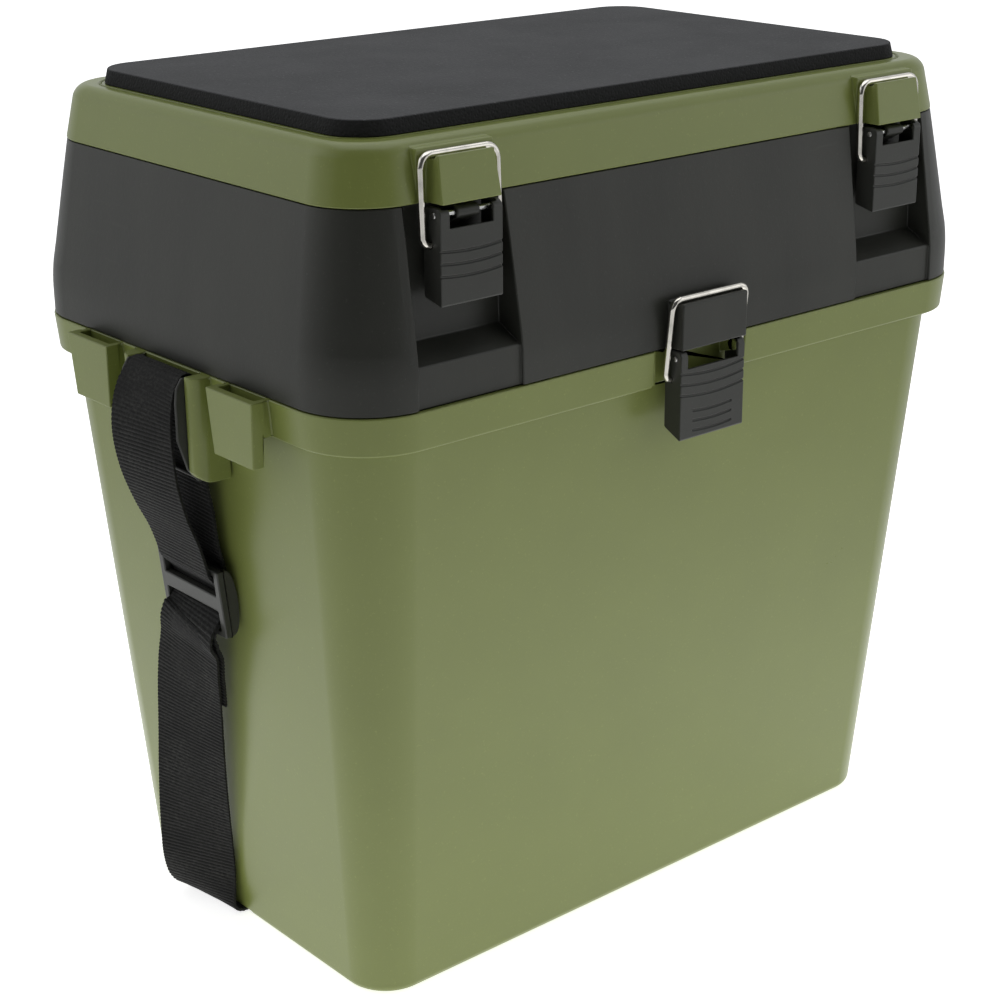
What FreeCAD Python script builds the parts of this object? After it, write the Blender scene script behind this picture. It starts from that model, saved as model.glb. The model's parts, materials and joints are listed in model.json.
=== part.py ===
import FreeCAD, Part
import math
import os

os.makedirs("parts", exist_ok=True)

V = FreeCAD.Vector
X_AXIS = V(1, 0, 0)
Y_AXIS = V(0, 1, 0)
Z_AXIS = V(0, 0, 1)

# Frame: X along the length, the three latches face -Y, Z up, floor at Z = 0.

# Running and seating clearances
SEAT_GAP = 0.3
PIN_PLAY = 0.05
ROD_FIT = 0.02

# Tapered bucket, given as half lengths, half depths and corner radii
TUB_FOOT = (159.0, 94.0, 21.0)
TUB_NECK = (178.0, 114.5, 31.0)
TUB_NECK_Z = 257.0
CORNER_STEPS = 9
TUB_EDGE_RADIUS = 4.0
WALL = 3.0
FLOOR_TOP_Z = 6.5

# Collar band around the mouth of the bucket
COLLAR_FOOT = (183.3, 121.0, 33.0)
COLLAR_RIM = (184.6, 121.9, 33.6)
COLLAR_HEIGHT = 18.0
SHELF_RISE = 3.5
COLLAR_TOP_Z = TUB_NECK_Z + COLLAR_HEIGHT
SHELF_TOP_Z = TUB_NECK_Z + SHELF_RISE
COLLAR_EDGE = 0.9

# Recess under the floor and the two gaps in its rim for the strap
BASE_RECESS = (148.0, 84.0, 14.0)
BASE_RECESS_DEPTH = 2.4
STRAP_GAP_Y = (3.0, 52.0)

# Front notch of the collar around the lower latch
NOTCH_HALF = 27.3
NOTCH_BACK_Y = -115.8
NOTCH_WALL_Y = -112.8
NOTCH_PANEL_HALF = 31.0
GUARD_RIB_X = (25.0, 26.6)
GUARD_RIB_FRONT_Y = -120.2

# Accessory sockets on both ends of the collar
SOCKET_FRONT_X = 192.6
SOCKET_BACK_X = 177.0
SOCKET_CENTRE_Y = 53.6
SOCKET_TOP_HALF = 15.2
SOCKET_FOOT_HALF = 13.8
SOCKET_Z = (COLLAR_TOP_Z - 30.0, COLLAR_TOP_Z - 2.8)
SLOT_X = (185.5, 191.1)
SLOT_HALF = 12.6
SLOT_FLOOR_Z = SOCKET_Z[0] + WALL

# Strap cheeks between the sockets
CHEEK_Y = (21.2, 33.8)
CHEEK_FRONT_X = 193.0
CHEEK_Z = (COLLAR_TOP_Z - 46.0, COLLAR_TOP_Z - 2.2)
CHEEK_RADIUS = 6.5
CHEEK_STRAP_RADIUS = 2.0

# Strap anchor set between the cheeks
BAR_X = 190.0
BAR_Z = COLLAR_TOP_Z - 6.6
BAR_RADIUS = 3.0
ANCHOR_LUG_Y = (19.6, 21.0)
ANCHOR_LUG_X = (179.9, 193.4)
ANCHOR_LUG_Z = (COLLAR_TOP_Z - 44.0, COLLAR_TOP_Z - 18.4)
ANCHOR_LUG_TOP_Z = COLLAR_TOP_Z - 2.8
ANCHOR_BEND_Z = COLLAR_TOP_Z - 23.0
ANCHOR_STEP_X = 185.4
ANCHOR_PLATE_X = (179.9, 181.9)
ANCHOR_SILL_X = 182.7
ANCHOR_SILL = 1.8

# Webbing strap
WEB_WIDTH = 38.0
WEB_THICK = 1.4
WEB_PLAY = 0.4
UNDER_RUN_Z = 1.1
SPAN_STEPS = 2

# Strap buckle, a slotted frame with a middle bar
BUCKLE_SIDE = 3.6
BUCKLE_PLAY = 0.9
BUCKLE_HALF_Y = WEB_WIDTH / 2 + BUCKLE_PLAY + BUCKLE_SIDE
BUCKLE_HALF_Z = 15.5
BUCKLE_THICK = 3.2
BUCKLE_RAIL = 2.4
BUCKLE_BAR = 7.0
BUCKLE_X = 179.6
BUCKLE_Y = 3.0
BUCKLE_Z = COLLAR_TOP_Z - 106.0
BUCKLE_LEAN = -6.0
BUCKLE_FLANGE = 5.4

# Tray section between the bucket and the lid
TRAY_Z = COLLAR_TOP_Z + SEAT_GAP
TRAY_SKIRT = (183.6, 120.9, 33.0)
TRAY_SKIRT_HEIGHT = 14.7
TRAY_HEIGHT = 74.7
TRAY_FLARE_Z = TRAY_Z + TRAY_SKIRT_HEIGHT
TRAY_RIM = (174.6, 112.0, 27.5)
TRAY_RIM_Z = TRAY_Z + TRAY_HEIGHT
TRAY_FLOOR = 3.0
SPIGOT_OUTER = (180.9, 118.2, 30.0)
SPIGOT_INNER = (178.5, 115.8, 27.6)
SPIGOT_Z = TRAY_Z - 6.8
SPIGOT_GAP_HALF = 33.0
LIP_OUTER = (169.6, 107.0, 23.4)
LIP_INNER = (167.4, 104.8, 21.2)
LIP_LEDGE_Z = TRAY_RIM_Z - 3.5
LIP_TOP_Z = TRAY_RIM_Z + 3.4

# Latch recesses in the front of the tray
RECESS_CENTRE_X = 125.2
RECESS_HALF_TOP = 24.4
RECESS_HALF_FOOT = 26.2
RECESS_BACK_Y = -107.2
RECESS_SHELF_Z = TRAY_Z + 21.0
RECESS_LIP_Z = TRAY_Z + 14.1
RECESS_PANEL_DEPTH = 0.8
HOUSING_WALL = 3.0

# Lid
LID_Z = TRAY_RIM_Z + 0.35
LID_FOOT = (174.6, 112.0, 27.5)
LID_SHOULDER = (170.2, 107.6, 24.6)
LID_HEIGHT = 23.05
LID_TOP_Z = LID_Z + LID_HEIGHT
LID_TOP_WALL = 3.4
LID_EDGE_RADIUS = 5.5

# Seat pad
PAD = (157.0, 93.3, 18.0)
PAD_THICKNESS = 6.55
PAD_Z = LID_TOP_Z + 0.05
PAD_TOP_Z = PAD_Z + PAD_THICKNESS
PAD_BEVEL = 1.4

# Keeper blocks that the bails hook over
UPPER_KEEPER_HALF_TOP = 15.4
UPPER_KEEPER_HALF_FOOT = 16.4
UPPER_KEEPER_Y = -116.6
UPPER_KEEPER_Z = (LID_Z - 0.9, LID_TOP_Z - 5.5)
BACKPLATE_HALF = 22.0
BACKPLATE_Y = -111.5
BACKPLATE_Z = (LID_Z + 0.65, LID_TOP_Z - 2.0)
LOWER_KEEPER_HALF = 19.0
LOWER_KEEPER_Y = -130.0
LOWER_KEEPER_Z = (COLLAR_TOP_Z - 1.7, TRAY_Z + 18.7)
KEEPER_ROUND = 1.0
KEEPER_BEVEL = 0.6

# Latches: pin, bail pivot and crossbar given as (Y, Z)
UPPER_X = 124.0
HOOK_RISE = 1.8
UPPER_PIN = (-116.8, TRAY_RIM_Z - 4.0)
UPPER_PIVOT = (-114.6, TRAY_RIM_Z - 15.5)
UPPER_CROSSBAR = (-114.5, UPPER_KEEPER_Z[1] + HOOK_RISE)
UPPER_BAIL_HALF = 19.2
LOWER_PIN = (-125.6, COLLAR_TOP_Z - 6.0)
LOWER_PIVOT = (-122.6, COLLAR_TOP_Z - 15.4)
LOWER_CROSSBAR = (-127.8, LOWER_KEEPER_Z[1] + HOOK_RISE)
LOWER_BAIL_HALF = 22.0
WIRE_RADIUS = 1.4
UPPER_WIRE_CORNER = 5.0
LOWER_WIRE_CORNER = 4.0
WIRE_FOOT_BEND = 3.0
WIRE_SIDES = 12
PIN_RADIUS = 1.2
LEVER_WALL = 2.2
LEVER_FACE = 1.5
LEVER_FOOT = 1.8
GROOVE_DEPTH = 0.5
GROOVE_WIDTH = 0.9

# Lugs that carry the lever pins
LOWER_EAR_X = (10.8, 14.6)
LOWER_EAR_RADIUS = 2.9
UPPER_LUG_HALF = 5.5
UPPER_LUG_RADIUS = 2.4

# Rear hinges: axes given as (Y, Z)
TRAY_HINGE = (126.2, COLLAR_TOP_Z + 2.0)
TRAY_BARREL = 3.8
LID_HINGE = (116.9, TRAY_RIM_Z + 0.2)
LID_BARREL = 3.6
ROD_RADIUS = 1.8
KNUCKLE_SPLITS = (98.0, 117.8, 138.2, 158.0)
LID_KNUCKLE_SPLITS = (88.0, 102.8, 123.2, 138.0)
KNUCKLE_GAP = 0.4

# Tray dividers
DIVIDER_THICK = 1.8
DIVIDER_Y = 10.0
CROSS_DIVIDER_X = 58.0
DIVIDER_TOP_Z = TRAY_RIM_Z - 14.0
DIVIDER_GAP = 0.3


def save(name, shape):
    shape.exportStep(os.path.join("parts", name + ".step"))


def rounded_wire(half_x, half_y, radius, z):
    """Closed outline of a rectangle with round corners at height z."""
    points = []
    for sx, sy, start in ((1, 1, 0), (-1, 1, 90), (-1, -1, 180), (1, -1, 270)):
        for step in range(CORNER_STEPS + 1):
            a = math.radians(start + 90 * step / CORNER_STEPS)
            x = sx * (half_x - radius) + radius * math.cos(a)
            y = sy * (half_y - radius) + radius * math.sin(a)
            points.append(V(x, y, z))
    return Part.makePolygon(points + points[:1])


def frustum(sections):
    """Solid through rounded outlines; each section is ((half_x, half_y, radius), z)."""
    wires = [rounded_wire(size[0], size[1], size[2], z) for size, z in sections]
    return Part.makeLoft(wires, True, True)


def grow(size, by):
    return (size[0] + by, size[1] + by, size[2] + by)


def between(low, high, t):
    return tuple(a + (b - a) * t for a, b in zip(low, high))


def box(x0, x1, y0, y1, z0, z1):
    return Part.makeBox(x1 - x0, y1 - y0, z1 - z0, V(x0, y0, z0))


def cylinder_x(x0, x1, centre, radius):
    return Part.makeCylinder(radius, x1 - x0, V(x0, centre[0], centre[1]), X_AXIS)


def prism_x(points, x0, x1):
    """Prism along X over a polygon of (Y, Z) points."""
    wire = Part.makePolygon([V(x0, y, z) for y, z in points + points[:1]])
    return Part.Face(wire).extrude(V(x1 - x0, 0, 0))


def prism_y(points, y0, y1):
    """Prism along Y over a polygon of (X, Z) points."""
    wire = Part.makePolygon([V(x, y0, z) for x, z in points + points[:1]])
    return Part.Face(wire).extrude(V(0, y1 - y0, 0))


def flip_x(shape):
    return shape.mirror(V(0, 0, 0), X_AXIS)


def both_sides(shape):
    return [shape, flip_x(shape)]


def fillet_where(shape, radius, test):
    edges = [e for e in shape.Edges if test(e)]
    return shape.makeFillet(radius, edges)


def solids_as_one(shapes):
    solids = []
    for shape in shapes:
        solids.extend(shape.Solids)
    return solids[0] if len(solids) == 1 else Part.makeCompound(solids)


def tub_size(z):
    return between(TUB_FOOT, TUB_NECK, z / TUB_NECK_Z)


def low_edges(shape, z):
    return [e for e in shape.Edges if all(abs(v.Point.z - z) < 0.01 for v in e.Vertexes)]


def bucket_outer():
    r = TUB_EDGE_RADIUS
    sections = []
    for turn in (0, 45, 90):
        a = math.radians(turn)
        sections.append((grow(tub_size(r), r * math.sin(a) - r), r - r * math.cos(a)))
    tub = frustum(sections + [(TUB_NECK, TUB_NECK_Z)])
    collar = frustum([(grow(COLLAR_FOOT, -COLLAR_EDGE), TUB_NECK_Z), (COLLAR_FOOT, TUB_NECK_Z + COLLAR_EDGE),
                      (COLLAR_RIM, COLLAR_TOP_Z)])
    return tub, collar


def bucket_inner():
    inner_foot = grow(tub_size(FLOOR_TOP_Z), -WALL)
    inner_neck = grow(TUB_NECK, -WALL)
    hollow = frustum([(inner_foot, FLOOR_TOP_Z), (inner_neck, TUB_NECK_Z), (inner_neck, SHELF_TOP_Z)])
    mouth = frustum([(grow(COLLAR_FOOT, -WALL), SHELF_TOP_Z), (grow(COLLAR_RIM, -WALL), COLLAR_TOP_Z + 0.01)])
    return hollow, mouth


def socket():
    """One accessory socket on the -X end, around its own centre line."""
    low, high = SOCKET_Z
    block = Part.makeLoft([
        Part.makePolygon([V(x, y, z) for x, y in
                          ((-SOCKET_FRONT_X, -half), (-SOCKET_BACK_X, -half),
                           (-SOCKET_BACK_X, half), (-SOCKET_FRONT_X, half), (-SOCKET_FRONT_X, -half))])
        for half, z in ((SOCKET_FOOT_HALF, low), (SOCKET_TOP_HALF, high))], True, True)
    slot = box(-SLOT_X[1], -SLOT_X[0], -SLOT_HALF, SLOT_HALF, SLOT_FLOOR_Z, high + 1)
    return block, slot


def cheek():
    """Rounded cheek on the -X end, on the +Y side of the strap."""
    block = box(-CHEEK_FRONT_X, -SOCKET_BACK_X, CHEEK_Y[0], CHEEK_Y[1], CHEEK_Z[0], CHEEK_Z[1])
    for y, radius in ((CHEEK_Y[0], CHEEK_STRAP_RADIUS), (CHEEK_Y[1], CHEEK_RADIUS)):
        block = fillet_where(block, radius, lambda e: all(
            abs(v.Point.x + CHEEK_FRONT_X) < 0.01 and abs(v.Point.y - y) < 0.01 for v in e.Vertexes))
    foot = box(-CHEEK_FRONT_X - 1, -SOCKET_BACK_X, CHEEK_Y[0] - 1, CHEEK_Y[1] + 1,
               CHEEK_Z[0] - 1, CHEEK_Z[0] + 14)
    slant = prism_y([(-CHEEK_FRONT_X - 2, CHEEK_Z[0] - 2), (-CHEEK_FRONT_X - 2, CHEEK_Z[0] + 9),
                     (-SOCKET_BACK_X - 1.5, CHEEK_Z[0] - 2)], CHEEK_Y[0] - 1, CHEEK_Y[1] + 1)
    return block.cut(slant.common(foot))


def end_fittings():
    """Sockets and cheeks of the -X end with the slots to be cut from them."""
    blocks = []
    slots = []
    for side in (-1, 1):
        block, slot = socket()
        shift = V(0, side * SOCKET_CENTRE_Y, 0)
        block.translate(shift)
        slot.translate(shift)
        blocks.append(block)
        slots.append(slot)
    one = cheek()
    blocks.append(one)
    blocks.append(one.mirror(V(0, 0, 0), Y_AXIS))
    return blocks, slots


def barrel_lug(points, centre, radius, x0, x1, bore):
    """Hinge knuckle: a web with a barrel on its end, bored for the rod."""
    lug = prism_x(points, x0, x1).fuse(cylinder_x(x0, x1, centre, radius))
    return lug.cut(cylinder_x(x0 - 1, x1 + 1, centre, bore))


def bucket_shell():
    tub, collar = bucket_outer()
    hollow, mouth = bucket_inner()
    blocks, slots = end_fittings()
    extras = []
    for block in blocks:
        extras.extend(both_sides(block))
    shell = tub.fuse([collar] + extras)
    shell = shell.cut([hollow, mouth])

    # Panel that closes the wall behind the latch notch
    panel = box(-NOTCH_PANEL_HALF, NOTCH_PANEL_HALF, -119.6, NOTCH_WALL_Y, TUB_NECK_Z, COLLAR_TOP_Z)
    shell = shell.fuse(panel)
    shell = shell.cut(box(-NOTCH_HALF, NOTCH_HALF, -130, NOTCH_BACK_Y, TUB_NECK_Z - 2, COLLAR_TOP_Z + 1))

    # Ears for the lower lever pins and the guard ribs beside the bail
    y_pin, z_pin = LOWER_PIN
    ear_web = [(NOTCH_BACK_Y + 0.6, z_pin - 6.5), (y_pin, z_pin - LOWER_EAR_RADIUS),
               (y_pin, z_pin + LOWER_EAR_RADIUS), (NOTCH_BACK_Y + 0.6, z_pin + LOWER_EAR_RADIUS)]
    fittings = []
    for side in (-1, 1):
        x0, x1 = sorted((side * LOWER_EAR_X[0], side * LOWER_EAR_X[1]))
        fittings.append(barrel_lug(ear_web, LOWER_PIN, LOWER_EAR_RADIUS, x0, x1, PIN_RADIUS + ROD_FIT))
        x0, x1 = sorted((side * GUARD_RIB_X[0], side * GUARD_RIB_X[1]))
        fittings.append(box(x0, x1, GUARD_RIB_FRONT_Y, NOTCH_BACK_Y + 0.6, TUB_NECK_Z + 0.5,
                            COLLAR_TOP_Z - 1.5))

    # Middle knuckles of the tray hinge
    y, z = TRAY_HINGE
    back = COLLAR_RIM[1]
    web = [(back - 1.9, z - 13.5), (back - 1.9, z - 2.6), (back + 1.7, z - 2.4), (y, z), (y + TRAY_BARREL, z),
           (y + TRAY_BARREL - 0.6, z - 2.2)]
    for side in (-1, 1):
        x0 = KNUCKLE_SPLITS[1] + KNUCKLE_GAP / 2
        x1 = KNUCKLE_SPLITS[2] - KNUCKLE_GAP / 2
        x0, x1 = sorted((side * x0, side * x1))
        fittings.append(barrel_lug(web, TRAY_HINGE, TRAY_BARREL, x0, x1, ROD_RADIUS + ROD_FIT))
    shell = shell.fuse(fittings)

    cuts = []
    for slot in slots:
        cuts.extend(both_sides(slot))
    cuts.append(frustum([(BASE_RECESS, -1.0), (BASE_RECESS, BASE_RECESS_DEPTH)]))
    cuts.append(box(-170, 170, STRAP_GAP_Y[0], STRAP_GAP_Y[1], -1, BASE_RECESS_DEPTH))
    shell = shell.cut(cuts)
    return shell.removeSplitter()


def tray_sections():
    return [(TRAY_SKIRT, TRAY_Z), (TRAY_SKIRT, TRAY_FLARE_Z), (TRAY_RIM, TRAY_RIM_Z)]


def tray_cavity(inset):
    skirt = grow(TRAY_SKIRT, -WALL - inset)
    rim = grow(TRAY_RIM, -WALL - inset)
    floor_z = TRAY_Z + TRAY_FLOOR + inset
    return frustum([(skirt, floor_z), (skirt, TRAY_FLARE_Z), (rim, TRAY_RIM_Z + 0.5)])


def recess_cut():
    """Latch recess on the -X half of the tray front."""
    front = -130.0
    profile = [(front, TRAY_RIM_Z + 1), (RECESS_BACK_Y, TRAY_RIM_Z + 1), (RECESS_BACK_Y, RECESS_SHELF_Z),
               (-120.9, RECESS_LIP_Z), (front, RECESS_LIP_Z - 4.6)]
    shape = prism_x(profile, -RECESS_CENTRE_X - 40, -RECESS_CENTRE_X + 40)
    plan = [(-RECESS_CENTRE_X - RECESS_HALF_FOOT, TRAY_Z - 5), (-RECESS_CENTRE_X + RECESS_HALF_FOOT, TRAY_Z - 5),
            (-RECESS_CENTRE_X + RECESS_HALF_TOP, TRAY_RIM_Z + 2), (-RECESS_CENTRE_X - RECESS_HALF_TOP, TRAY_RIM_Z + 2)]
    taper = prism_y(plan, -140, -100)
    panel = prism_x([(front, TRAY_Z - 1), (-120.9 + RECESS_PANEL_DEPTH, TRAY_Z - 1),
                     (-120.9 + RECESS_PANEL_DEPTH, RECESS_LIP_Z + 0.5), (front, RECESS_LIP_Z + 0.5)],
                    -RECESS_CENTRE_X - 40, -RECESS_CENTRE_X + 40)
    return shape.common(taper), panel.common(taper)


def housing():
    """Inner wall that closes the tray behind a latch recess, -X half."""
    back = RECESS_BACK_Y + HOUSING_WALL
    half = RECESS_HALF_FOOT + HOUSING_WALL
    return box(-RECESS_CENTRE_X - half, -RECESS_CENTRE_X + half, -125, back, TRAY_Z, TRAY_RIM_Z)


def tray_shell():
    outer = frustum(tray_sections())
    shell = outer.cut(tray_cavity(0.0))
    rooms = []
    for block in both_sides(housing()):
        rooms.append(block.common(outer))
    spigot = frustum([(grow(SPIGOT_OUTER, -0.4), SPIGOT_Z), (SPIGOT_OUTER, TRAY_Z + 0.5)])
    spigot = spigot.cut(frustum([(SPIGOT_INNER, SPIGOT_Z - 1), (SPIGOT_INNER, TRAY_Z + 1)]))
    spigot = spigot.cut(box(-SPIGOT_GAP_HALF, SPIGOT_GAP_HALF, -130, -105, SPIGOT_Z - 1, TRAY_Z))
    lip = frustum([(grow(TRAY_RIM, -1.5), LIP_LEDGE_Z), (grow(TRAY_RIM, -1.5), TRAY_RIM_Z)])
    lip = lip.fuse(frustum([(LIP_OUTER, TRAY_RIM_Z - 0.5), (grow(LIP_OUTER, -0.4), LIP_TOP_Z)]))
    lip = lip.cut(frustum([(LIP_INNER, LIP_LEDGE_Z - 1), (LIP_INNER, LIP_TOP_Z + 1)]))
    keeper = prism_x([(LOWER_KEEPER_Y, LOWER_KEEPER_Z[0]), (LOWER_KEEPER_Y, LOWER_KEEPER_Z[1]),
                      (-117.5, LOWER_KEEPER_Z[1]), (-118.5, TRAY_Z + 0.2), (-121.9, TRAY_Z + 0.2),
                      (-122.6, LOWER_KEEPER_Z[0])], -LOWER_KEEPER_HALF, LOWER_KEEPER_HALF)
    keeper = fillet_where(keeper, KEEPER_ROUND, lambda e: all(
        abs(v.Point.y - LOWER_KEEPER_Y) < 0.01 and v.Point.z > LOWER_KEEPER_Z[1] - 0.01 for v in e.Vertexes))
    shell = shell.fuse(rooms + [spigot, lip, keeper])
    cuts = []
    for cut in recess_cut():
        cuts.extend(both_sides(cut))
    shell = shell.cut(cuts)

    # Lugs for the upper lever pins
    fittings = []
    y, z = UPPER_PIN
    web = [(RECESS_BACK_Y + 0.5, z - 8.0), (y, z - UPPER_LUG_RADIUS), (y, z + UPPER_LUG_RADIUS),
           (RECESS_BACK_Y + 0.5, z + UPPER_LUG_RADIUS)]
    for side in (-1, 1):
        x0 = side * UPPER_X - UPPER_LUG_HALF
        fittings.append(barrel_lug(web, UPPER_PIN, UPPER_LUG_RADIUS, x0, x0 + 2 * UPPER_LUG_HALF,
                                   PIN_RADIUS + ROD_FIT))

    # Outer knuckles of the tray hinge and middle knuckles of the lid hinge
    y, z = TRAY_HINGE
    back = TRAY_SKIRT[1] - 2.3
    web = [(back, TRAY_Z + 0.4), (back, TRAY_FLARE_Z - 2.0), (y + 1.0, z + TRAY_BARREL - 0.1), (y, z),
           (y - TRAY_BARREL + 0.3, TRAY_Z + 0.4)]
    for side in (-1, 1):
        for a, b in ((KNUCKLE_SPLITS[0], KNUCKLE_SPLITS[1]), (KNUCKLE_SPLITS[2], KNUCKLE_SPLITS[3])):
            x0, x1 = sorted((side * (a + KNUCKLE_GAP / 2), side * (b - KNUCKLE_GAP / 2)))
            fittings.append(barrel_lug(web, TRAY_HINGE, TRAY_BARREL, x0, x1, ROD_RADIUS + PIN_PLAY))
    y, z = LID_HINGE
    back = TRAY_RIM[1]
    web = [(back - 0.8, z - 16.2), (back - 0.8, z - 0.7), (y - LID_BARREL + 0.3, z - 0.7), (y, z),
           (y + LID_BARREL, z), (y + LID_BARREL - 0.5, z - 1.8), (back + 2.6, z - 13.7)]
    for side in (-1, 1):
        x0 = LID_KNUCKLE_SPLITS[1] + KNUCKLE_GAP / 2
        x1 = LID_KNUCKLE_SPLITS[2] - KNUCKLE_GAP / 2
        x0, x1 = sorted((side * x0, side * x1))
        fittings.append(barrel_lug(web, LID_HINGE, LID_BARREL, x0, x1, ROD_RADIUS + ROD_FIT))
    shell = shell.fuse(fittings)
    return shell.removeSplitter()


def lid_keeper():
    """Keeper block and its backplate on the -X half of the lid front."""
    low, high = UPPER_KEEPER_Z
    back = -106.5
    block = Part.makeLoft([
        Part.makePolygon([V(x, y, z) for x, y in
                          ((-half, UPPER_KEEPER_Y), (half, UPPER_KEEPER_Y), (half, back), (-half, back),
                           (-half, UPPER_KEEPER_Y))])
        for half, z in ((UPPER_KEEPER_HALF_FOOT, low), (UPPER_KEEPER_HALF_TOP, high))], True, True)
    block = block.makeChamfer(KEEPER_BEVEL, [e for e in block.Edges if all(
        abs(v.Point.y - UPPER_KEEPER_Y) < 0.01 for v in e.Vertexes)
        and e.Vertexes[0].Point.z + e.Vertexes[1].Point.z > 2 * low + 0.5])
    plate = box(-BACKPLATE_HALF, BACKPLATE_HALF, BACKPLATE_Y, back, BACKPLATE_Z[0], BACKPLATE_Z[1])
    plate = fillet_where(plate, 1.6, lambda e: all(
        abs(v.Point.y - BACKPLATE_Y) < 0.01 and v.Point.z > BACKPLATE_Z[1] - 0.01 for v in e.Vertexes))
    both = block.fuse(plate)
    below = box(-30, 30, -111.8, back + 1, low - 1, LID_Z)
    both = both.cut(below)
    both.translate(V(-UPPER_X, 0, 0))
    return both


def lid_shell():
    r = LID_EDGE_RADIUS
    bend_z = LID_TOP_Z - r
    shoulder = between(LID_FOOT, LID_SHOULDER, (bend_z - LID_Z) / (LID_TOP_Z - LID_Z))
    sections = [(LID_FOOT, LID_Z)]
    for turn in (0, 30, 60, 90):
        a = math.radians(turn)
        sections.append((grow(shoulder, r * math.cos(a) - r), bend_z + r * math.sin(a)))
    outer = frustum(sections)
    ceiling = LID_TOP_Z - LID_TOP_WALL
    hollow_foot = grow(LID_FOOT, -WALL)
    hollow_top = grow(between(LID_FOOT, LID_SHOULDER, (ceiling - LID_Z) / (LID_TOP_Z - LID_Z)), -WALL - 0.6)
    hollow = frustum([(hollow_foot, LID_Z - 0.01), (hollow_top, ceiling)])
    keepers = both_sides(lid_keeper())
    shell = outer.fuse(keepers).cut(hollow)
    y, z = LID_HINGE
    back = LID_FOOT[1]
    web = [(back - 2.4, LID_Z + 0.3), (back - 3.4, LID_Z + 11.65), (y + 0.8, z + LID_BARREL - 0.1), (y, z),
           (y - LID_BARREL + 0.3, LID_Z + 0.3)]
    fittings = []
    for side in (-1, 1):
        for a, b in ((LID_KNUCKLE_SPLITS[0], LID_KNUCKLE_SPLITS[1]), (LID_KNUCKLE_SPLITS[2], LID_KNUCKLE_SPLITS[3])):
            x0, x1 = sorted((side * (a + KNUCKLE_GAP / 2), side * (b - KNUCKLE_GAP / 2)))
            fittings.append(barrel_lug(web, LID_HINGE, LID_BARREL, x0, x1, ROD_RADIUS + PIN_PLAY))
    return shell.fuse(fittings).removeSplitter()


def seat_pad():
    pad = frustum([(PAD, PAD_Z), (PAD, PAD_TOP_Z)])
    return pad.makeChamfer(PAD_BEVEL, low_edges(pad, PAD_TOP_Z))


def groove(half_x, face_y, end_z, sag):
    """Curved groove across a lever face, lower in the middle by sag."""
    span = half_x + 1.0
    outer = Part.Arc(V(-span, face_y - 1, end_z), V(0, face_y - 1, end_z - sag), V(span, face_y - 1, end_z)).toShape()
    inner = outer.copy()
    inner.translate(V(0, 0, -GROOVE_WIDTH))
    a, b = outer.Vertexes[0].Point, outer.Vertexes[1].Point
    c, d = inner.Vertexes[0].Point, inner.Vertexes[1].Point
    wire = Part.Wire([outer, Part.makeLine(b, d), inner, Part.makeLine(c, a)])
    slab = Part.Face(wire).extrude(V(0, 1 + GROOVE_DEPTH, 0))
    return slab.common(box(-half_x, half_x, face_y - 2, face_y + 2, end_z - 10, end_z + 10))


class Lever:
    """Latch lever around its pin: the pin axis is X through the origin."""

    def __init__(self, half, front, back, top, foot, pivot, window_half, window_foot):
        self.half = half
        self.front = front
        self.back = back
        self.top = top
        self.foot = foot
        self.pivot = pivot
        self.window_half = window_half
        self.window_foot = window_foot

    def solid(self, long_grooves, short_grooves):
        f = self.front
        profile = [(-f, -self.foot), (-f, 0.3), (-f * 0.9, f * 0.45), (-f * 0.62, self.top * 0.9),
                   (-f * 0.2, self.top), (self.back - 0.8, self.top), (self.back, self.top - 0.8),
                   (self.back, 5.0 - self.foot), (self.back - 1.2, 1.6 - self.foot), (self.back - 3.4, -self.foot)]
        body = prism_x(profile, -self.half, self.half)
        inner = self.half - LEVER_WALL
        body = body.cut(box(-inner, inner, LEVER_FACE - f, self.back + 1, LEVER_FOOT - self.foot, self.top + 1))
        body = body.cut(box(-self.window_half, self.window_half, -f - 1, self.back + 1, self.window_foot, self.top + 1))
        for drop, sag in long_grooves:
            body = body.cut(groove(self.half + 0.5, -f, drop, sag))
        for drop, sag, half in short_grooves:
            body = body.cut(groove(half, -f, drop, sag))
        body = body.cut(cylinder_x(-self.half - 1, self.half + 1, (0, 0), PIN_RADIUS + PIN_PLAY))
        body = body.cut(cylinder_x(-self.half - 1, self.half + 1, self.pivot, WIRE_RADIUS + PIN_PLAY))
        return body


def offset(point, origin):
    return (point[0] - origin[0], point[1] - origin[1])


UPPER_LEVER = Lever(15.2, 2.8, 7.0, 2.9, 34.6, offset(UPPER_PIVOT, UPPER_PIN), 10.6, -5.0)
LOWER_LEVER = Lever(19.0, 3.7, 5.8, 3.6, 35.4, offset(LOWER_PIVOT, LOWER_PIN), 15.0, -4.4)
UPPER_GROOVES = ((-12.4, 1.3), (-17.2, 1.3), (-22.0, 1.3))
LOWER_GROOVES = ((-5.2, 1.9), (-9.9, 1.9), (-14.6, 1.9))
LOWER_SHORT_GROOVES = ((-22.6, 0.7, 11.8), (-26.9, 0.7, 11.8), (-31.2, 0.7, 11.8))


def place(shape, x, point):
    shape.translate(V(x, point[0], point[1]))
    return shape


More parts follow.
